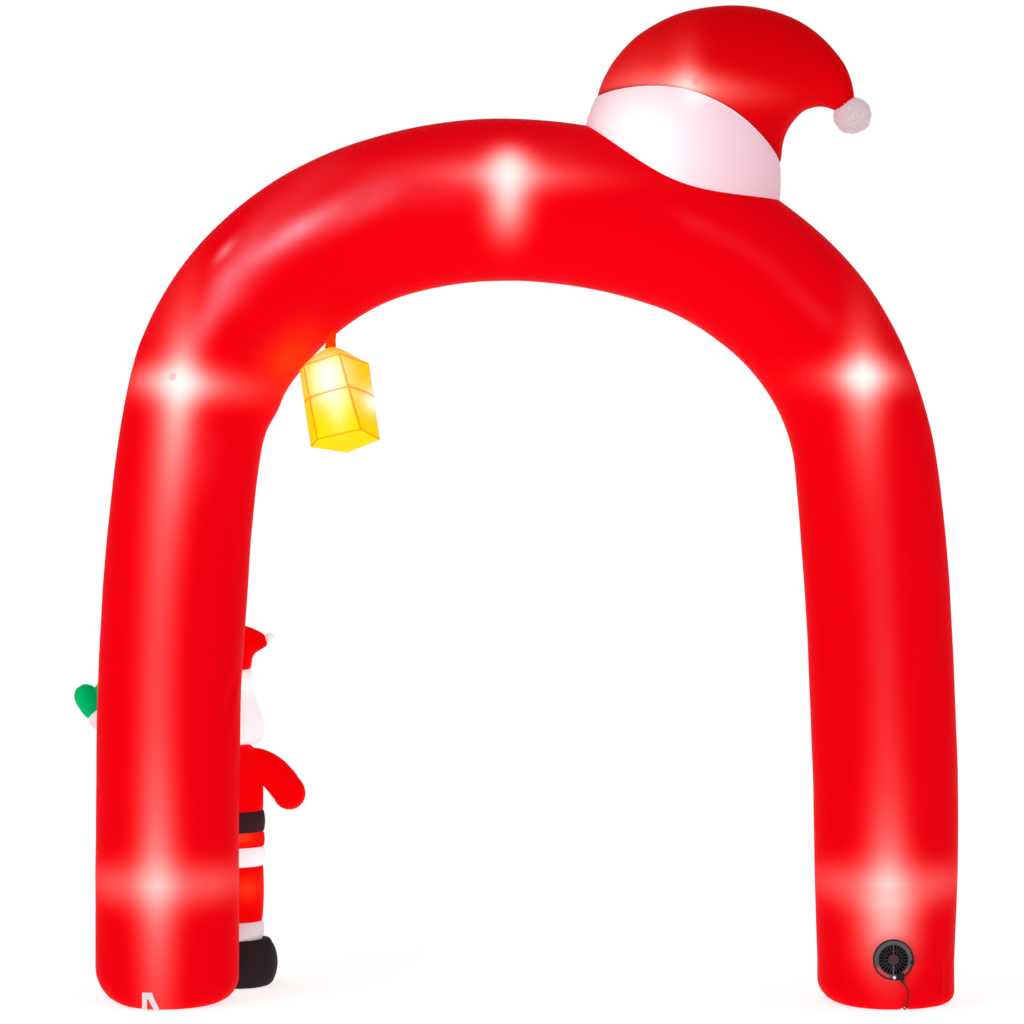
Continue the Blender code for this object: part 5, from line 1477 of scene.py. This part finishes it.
class ARCH_OT_figure(bpy.types.Operator):
    """Make the standing festive figure, piece by piece"""

    bl_idname = "arch.figure"
    bl_label = "Figure"

    def execute(self, context):
        # Each cloth's glow colour is an even painted glow; the red one adds the painted glow of the lamps in
        # the figure.
        lights = ((PAINTED_LIGHTS["figure"], FIGURE_GLOW),)
        skin_colour = (0.80, 0.50, 0.36)
        red = cloth_material(
            "figure_red", (0.78, 0.0004, 0.002), 0.42, (0.26, 0.0, 0.0004), lights, far_side=1.0
        )
        white = cloth_material("figure_white", (0.82, 0.74, 0.77), 0.5, (0.34, 0.39, 0.39), wrinkle=0.0007)
        lilac = cloth_material("cuff_white", (0.78, 0.66, 0.71), 0.5, (0.10, 0.15, 0.15), wrinkle=0.0007)
        black = cloth_material("boot_black", (0.030, 0.022, 0.026), 0.38)
        brown = cloth_material("belt_black", (0.050, 0.022, 0.028), 0.36)
        green = cloth_material("mitten_green", (0.001, 0.42, 0.12), 0.45, (0.0, 0.11, 0.030))
        skin = cloth_material("face_cloth", skin_colour, 0.55, (0.16, 0.08, 0.05), wrinkle=0.0004)
        paint_face(skin, skin_colour)
        x, y = FIGURE_AT
        sides = 104
        upright = [
            ("trim", "trim", FIGURE_AT, white, "white_cloth", 10),
            ("skirt", "skirt", FIGURE_AT, red, "red_cloth", 8),
            ("belt", "belt", FIGURE_AT, brown, "belt_cloth", 10),
            ("coat", "coat", FIGURE_AT, red, "red_cloth", 8),
            ("hat_band", "hat_band", FIGURE_AT, white, "white_cloth", 9),
            ("beard", "beard", (x, y + BEARD_FRONT), white, "white_cloth", 5),
        ]
        for side, out in (("left", -1), ("right", 1)):
            leg = (x + out * LEG_SPREAD, y)
            boot = (leg[0] + out * BOOT_OUTSET, y)
            upright.append((f"boot_{side}", "boot", boot, black, "boot_cloth", 5))
            upright.append((f"cuff_{side}", "cuff", leg, lilac, "white_cloth", 9))
            upright.append((f"leg_{side}", "leg", leg, red, "red_cloth", 10))
        for seed, (part, shape, centre, material, slot, steps) in enumerate(upright):
            rows = FIGURE[shape]
            grid = upright_grid(rows, centre, sides, steps)
            grid = puffy(grid, 0.001, float(seed), pinch=0.0 if shape == "boot" else 0.0018)
            grid[..., 2] = np.maximum(grid[..., 2], rows[0].z)
            add_to_figure(part, grid, material)
        add_to_figure("hair", puffy(half_head_grid(False), 0.002, 31.0), white)
        add_to_figure("face", puffy(half_head_grid(True), 0.002, 32.0, pinch=0.001), skin)
        add_to_figure("hat", puffy(hat_grid(SMALL_HAT, y, sides, 8), 0.001, 33.0), red)
        for seed, side in enumerate(("left", "right")):
            sleeve = puffy(limb(f"sleeve_{side}", 64, 7), 0.001, 41.0 + seed)
            wrist = puffy(limb(f"wrist_{side}", 64, 8), 0.001, 43.0 + seed)
            hand = left_mitten() if side == "left" else packed_mesh("figure_mitten_right")
            add_to_figure(f"sleeve_{side}", sleeve, red)
            add_to_figure(f"wrist_{side}", wrist, lilac)
            add_to_figure(f"mitten_{side}", rounded(f"mitten_{side}_source", hand), green)
        nose = lumpy_ball("figure_nose_cloth", (x, y + NOSE_FRONT, NOSE_Z), NOSE_RADIUS, 40, rough=0.03)
        pompom = lumpy_ball("figure_hat_pompom_cloth", SMALL_POMPOM_AT, SMALL_POMPOM_RADIUS, 40, rough=0.03)
        add_to_figure("nose", nose, skin)
        add_to_figure("hat_pompom", pompom, white)
        return {"FINISHED"}


# ---------------------------------------------------------------- small fittings
def leg_front(x):
    """Y of the left leg's near side at x, above its round edge."""
    share = (x - ARCH_LINE[0].x) / ARCH_LINE[0].half_width
    return -LEG_HALF_DEPTH * math.sqrt(1 - share * share)


def strap_mesh():
    """Webbing laid out flat, then hung down the leg and tucked back along the ground."""
    paths = [([(*corner, 0.0) for corner in outline], True) for outline in (STRAP_OUTLINE, STRAP_HOLE)]
    guide = path_object("strap_outline", paths, is_flat=True)
    guide.data.fill_mode = "BOTH"
    guide.data.extrude = STRAP_THICK / 2
    mesh = baked(guide)
    hang = STRAP_TOP_Z - STRAP_BEND - 0.0005
    turn = STRAP_BEND * math.pi / 2
    left = STRAP_OUTLINE[0].x
    width = STRAP_OUTLINE[3].x - left
    down, bend, across = STRAP_CUTS
    cuts = [((0, hang * i / down, 0), (0, 1, 0)) for i in range(1, down)]
    cuts += [((0, hang + turn * i / bend, 0), (0, 1, 0)) for i in range(bend + 1)]
    cuts += [((left + width * i / across, 0, 0), (1, 0, 0)) for i in range(1, across)]
    with editing(mesh) as bm:
        bmesh.ops.remove_doubles(bm, verts=bm.verts, dist=0.00001)
        for place, normal in cuts:
            geometry = bm.verts[:] + bm.edges[:] + bm.faces[:]
            bmesh.ops.bisect_plane(bm, geom=geometry, plane_co=place, plane_no=normal)
        for vert in bm.verts:
            x, down, height = vert.co
            middle = leg_front(x) - STRAP_CLEAR
            if down <= hang:
                vert.co = (x, middle - height, STRAP_TOP_Z - down)
                continue
            angle = min((down - hang) / STRAP_BEND, math.pi / 2)
            radius = STRAP_BEND + height - STRAP_THICK / 2
            beyond = max(down - hang - turn, 0.0)
            y = middle + STRAP_BEND - STRAP_THICK / 2 - radius * math.cos(angle) + beyond
            vert.co = (x, y, STRAP_TOP_Z - hang - radius * math.sin(angle))
    face_outwards(mesh)
    return mesh


def patch_grid(patch, sides=40):
    """A round patch on the near side of finished cloth: rings from its back over its edge to its face."""
    start = Vector((patch.x - FOOTPRINT_CENTRE[0], -1.0, patch.z))
    hit, place, outward, _ = bpy.data.objects[patch.under].ray_cast(start, Vector((0, 1, 0)))
    if not hit:
        raise RuntimeError(f"{patch.name} has no cloth behind it")
    across = outward.cross(Vector((0, 0, 1))).normalized()
    deep = outward.cross(across)
    centre = place + Vector(FOOTPRINT_CENTRE) + outward * PATCH_CLEAR
    rings = []
    for share, height in PATCH_SECTION:
        radius = PATCH_RADIUS * share
        rings.append(ring_of(centre + outward * PATCH_THICK * height, across, deep, radius, radius, sides))
    return np.array(rings)


def webbing_material():
    """White webbing with ribs across and along its own length."""
    material, shader, where = start_material("white_webbing", (0.88, 0.86, 0.87), 0.75)
    x, _, z = axes(where["Object"])
    turn = 2 * math.pi / 0.0016
    add_bump(shader, (maths("SINE", z * turn) + maths("SINE", x * (turn * 2)) * 0.4) * 0.00016)
    return material


class ARCH_OT_fittings(bpy.types.Operator):
    """Make the stake loop and the two round patches that hold lamps"""

    bl_idname = "arch.fittings"
    bl_label = "Stake loop and lamp patches"

    def execute(self, context):
        loop = add_piece("stake_loop_webbing", strap_mesh(), webbing_material(), ["stake_loop"])
        thread = plastic_material("white_thread", (0.80, 0.74, 0.76), roughness=0.7)
        # The patches have an even painted glow and the painted glow of the lamps they hold.
        lights = (((PAINTED_LIGHTS["tube"][0], PAINTED_LIGHTS["hat"][0]), PATCH_GLOW),)
        rose = cloth_material("lamp_patch", (0.66, 0.06, 0.09), 0.6, (0.10, 0.0, 0.004), lights)
        paths = []
        for patch in PATCHES:
            grid = patch_grid(patch)
            disc = add_piece(patch.name, grid, rose, [patch.node])
            paths.append((grid[PATCH_STITCH_ROW], True))
        front = STRAP_CLEAR + STRAP_THICK / 2
        top = [(x, leg_front(x) - front, STRAP_TOP_Z - 0.004) for x in (-1.088, -1.076, -1.064)]
        sew("patch_and_loop_stitches", [*paths, (top, False)], thread)
        return {"FINISHED"}


# ---------------------------------------------------------------- the blower and its lead
Finish = namedtuple("Finish", "slot nodes name colour roughness metallic grain", defaults=(0.0, 0.00008))
BLOWER_FINISHES = (
    Finish("grey_plastic", "blower_flange blower_channel blower_rib", "grey_plastic",
           (0.105, 0.088, 0.094), 0.46),
    Finish("grey_plastic", "blower_grille", "dark_plastic", (0.024, 0.018, 0.020), 0.5),
    Finish("grey_plastic", "blower_hub", "hub_plastic", (0.070, 0.022, 0.030), 0.46),
    Finish("black_plastic", "blower_rim blower_housing blower_tab fan_wheel cord_gland", "black_plastic",
           (0.008, 0.007, 0.008), 0.42),
    Finish("white_plastic", "blower_button", "white_plastic", (0.85, 0.85, 0.86), 0.30),
    Finish("motor_steel", "blower_motor", "motor_steel", (0.55, 0.55, 0.57), 0.32, 1.0, 0.00002),
    Finish("cord_rubber", "cord_relief cord_plug", "cord_rubber", (0.026, 0.024, 0.026), 0.50, 0.0, 0.00005),
    Finish("pin_brass", "cord_pin_1 cord_pin_2", "pin_brass", (0.78, 0.68, 0.42), 0.26, 1.0, 0.00001),
)


class ARCH_OT_blower(bpy.types.Operator):
    """Finish the blower, its fan and the lead's fittings"""

    bl_idname = "arch.blower"
    bl_label = "Blower"

    def execute(self, context):
        for finish in BLOWER_FINISHES:
            material = plastic_material(*finish[2:])
            for node in finish.nodes.split():
                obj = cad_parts[node]
                if not obj.material_slots:
                    raise RuntimeError(f"{node} has no material slot")
                obj.material_slots[0].link = "OBJECT"
                obj.material_slots[0].material = material
        return {"FINISHED"}


def coil_points():
    """The lead's turns, lane by lane and layer by layer, from +X round towards +Y."""
    points = []
    last = len(COIL_ORDER) - 1
    start = COIL_STEPS - COIL_SHIFT - 0.5
    for index, (layer, lane) in enumerate(COIL_ORDER):
        next_layer, next_lane = COIL_ORDER[min(index + 1, last)]
        for step in range(COIL_STEPS if index < last else int(COIL_STEPS * COIL_LAST) + 1):
            share = rise = float(blend_step(step, start, COIL_STEPS))
            if next_layer != layer and next_lane != lane:  # it rises first and then moves inwards
                rise = float(blend_step(step, start - 1, COIL_STEPS - 2))
                share = float(blend_step(step, start + 2, COIL_STEPS))
            radius = COIL_LANES[lane] + (COIL_LANES[next_lane] - COIL_LANES[lane]) * share
            height = COIL_LAYERS[layer] + (COIL_LAYERS[next_layer] - COIL_LAYERS[layer]) * rise
            if next_layer != layer:
                outward = 1 if lane == len(COIL_LANES) - 1 else -1
                radius += outward * LAYER_BULGE * math.sin(math.pi * rise)
            angle = 2 * math.pi * step / COIL_STEPS
            x, y = COIL_AT[0] + radius * math.cos(angle), COIL_AT[1] + radius * math.sin(angle)
            points.append(Place(x, y, height))
    return tuple(points)


class ARCH_OT_lead(bpy.types.Operator):
    """Lay the mains lead from the blower to its plug"""

    bl_idname = "arch.lead"
    bl_label = "Mains lead"

    def execute(self, context):
        settings = context.scene.arch_lead
        shift = Vector(FOOTPRINT_CENTRE)
        points = [Vector(point) - shift for point in smooth_rows(CORD_ROUTE + coil_points() + TAIL_ROUTE, 3)]
        lead = path_object("mains_lead", [(points, False)])
        lead.data.bevel_depth = settings.diameter / 2
        lead.data.bevel_resolution = 3
        lead.data.use_fill_caps = True
        rubber = plastic_material("lead_rubber", (0.045, 0.012, 0.011), roughness=0.5, grain=0.00003)
        lead.data.materials.append(rubber)
        settle(lead, ["cord_run", "cord_coil", "cord_tail"])
        return {"FINISHED"}


# ---------------------------------------------------------------- the stage
CAMERA_X = 0.0120
CAMERA_Z = 1.5
FLOOR_REACH = 60.0
# The power is a share of the key light's.
StudioLight = namedtuple("StudioLight", "name place target size power")
STUDIO_LIGHTS = (
    StudioLight("key", (-4.6, -5.5, 4.0), (-0.2, 0, 1.4), 3.5, 1.0),
    StudioLight("fill", (3.5, -6.5, 2.6), (0.4, 0, 1.3), 4.0, 0.3),
)


def area_light(lamp, key_power):
    light = bpy.data.lights.new(lamp.name, "AREA")
    light.size = lamp.size
    light.energy = lamp.power * key_power
    obj = link(lamp.name, light)
    obj.location = lamp.place
    obj.rotation_euler = (Vector(lamp.target) - Vector(lamp.place)).to_track_quat("-Z", "Y").to_euler()
    return obj


class ARCH_OT_stage(bpy.types.Operator):
    """Set the camera, a pale floor and soft studio light"""

    bl_idname = "arch.stage"
    bl_label = "Stage"

    def execute(self, context):
        scene = context.scene
        settings = scene.arch_stage
        camera = link("camera", bpy.data.cameras.new("camera"))
        camera.data.lens = settings.lens
        camera.data.sensor_width = 36.0
        camera.data.clip_end = 200.0
        camera.location = (CAMERA_X, -settings.distance - FOOTPRINT_CENTRE[1], CAMERA_Z)
        camera.rotation_euler = (math.radians(90), 0, 0)
        scene.camera = camera
        scene.view_settings.view_transform = "Standard"
        scene.world = scene.world or bpy.data.worlds.new("studio")
        scene.world.use_nodes = True
        tree = scene.world.node_tree
        background = tree.nodes["Background"].inputs
        feed(background["Color"], (1.0, 1.0, 1.0))
        is_seen = add_node(tree, "ShaderNodeLightPath")["Is Camera Ray"]
        feed(background["Strength"], is_seen * (1.0 - settings.sky) + settings.sky)
        mesh = bpy.data.meshes.new("floor")
        corners = [(x * FLOOR_REACH, y * FLOOR_REACH, 0) for x, y in ((-1, -1), (1, -1), (1, 1), (-1, 1))]
        mesh.from_pydata(corners, [], [(0, 1, 2, 3)])
        grey, light = (0.50, 0.50, 0.50), (1, 1, 1)
        material, *_ = start_material("pale_floor", grey, 0.9, 0.0, 0.0, light, settings.floor_glow)
        mesh.materials.append(material)
        floor = link("floor", mesh)
        lights = [area_light(lamp, settings.key_power) for lamp in STUDIO_LIGHTS]
        return {"FINISHED"}


class ARCH_PT_build(bpy.types.Panel):
    """The steps that build the arch"""

    bl_idname = "ARCH_PT_build"
    bl_label = "Inflatable arch"
    bl_space_type = "VIEW_3D"
    bl_region_type = "UI"
    bl_category = "Arch"

    def draw(self, context):
        for operator in OPERATORS:
            self.layout.operator(operator.bl_idname)
        for name, group in SETTINGS:
            box = self.layout.box()
            for item in group.__annotations__:
                box.prop(getattr(context.scene, name), item)


OPERATORS = (
    ARCH_OT_stage,
    ARCH_OT_lead,
    ARCH_OT_tube,
    ARCH_OT_hat,
    ARCH_OT_lantern,
    ARCH_OT_figure,
    ARCH_OT_fittings,
    ARCH_OT_blower,
)
SETTINGS = (
    ("arch_tube", ArchTubeSettings),
    ("arch_trim", ArchTrimSettings),
    ("arch_fleece", ArchFleeceSettings),
    ("arch_lead", ArchLeadSettings),
    ("arch_stage", ArchStageSettings),
)


def register():
    for name, group in SETTINGS:
        bpy.utils.register_class(group)
        setattr(bpy.types.Scene, name, PointerProperty(type=group))
    for item in (*OPERATORS, ARCH_PT_build):
        bpy.utils.register_class(item)


def unregister():
    for item in (ARCH_PT_build, *reversed(OPERATORS)):
        bpy.utils.unregister_class(item)
    for name, group in reversed(SETTINGS):
        delattr(bpy.types.Scene, name)
        bpy.utils.unregister_class(group)


def main():
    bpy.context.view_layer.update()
    register()
    for operator in OPERATORS:
        space, name = operator.bl_idname.split(".")
        if getattr(getattr(bpy.ops, space), name)() != {"FINISHED"}:
            raise RuntimeError(f"{operator.bl_label} was not made")


if __name__ == "__main__":
    main()
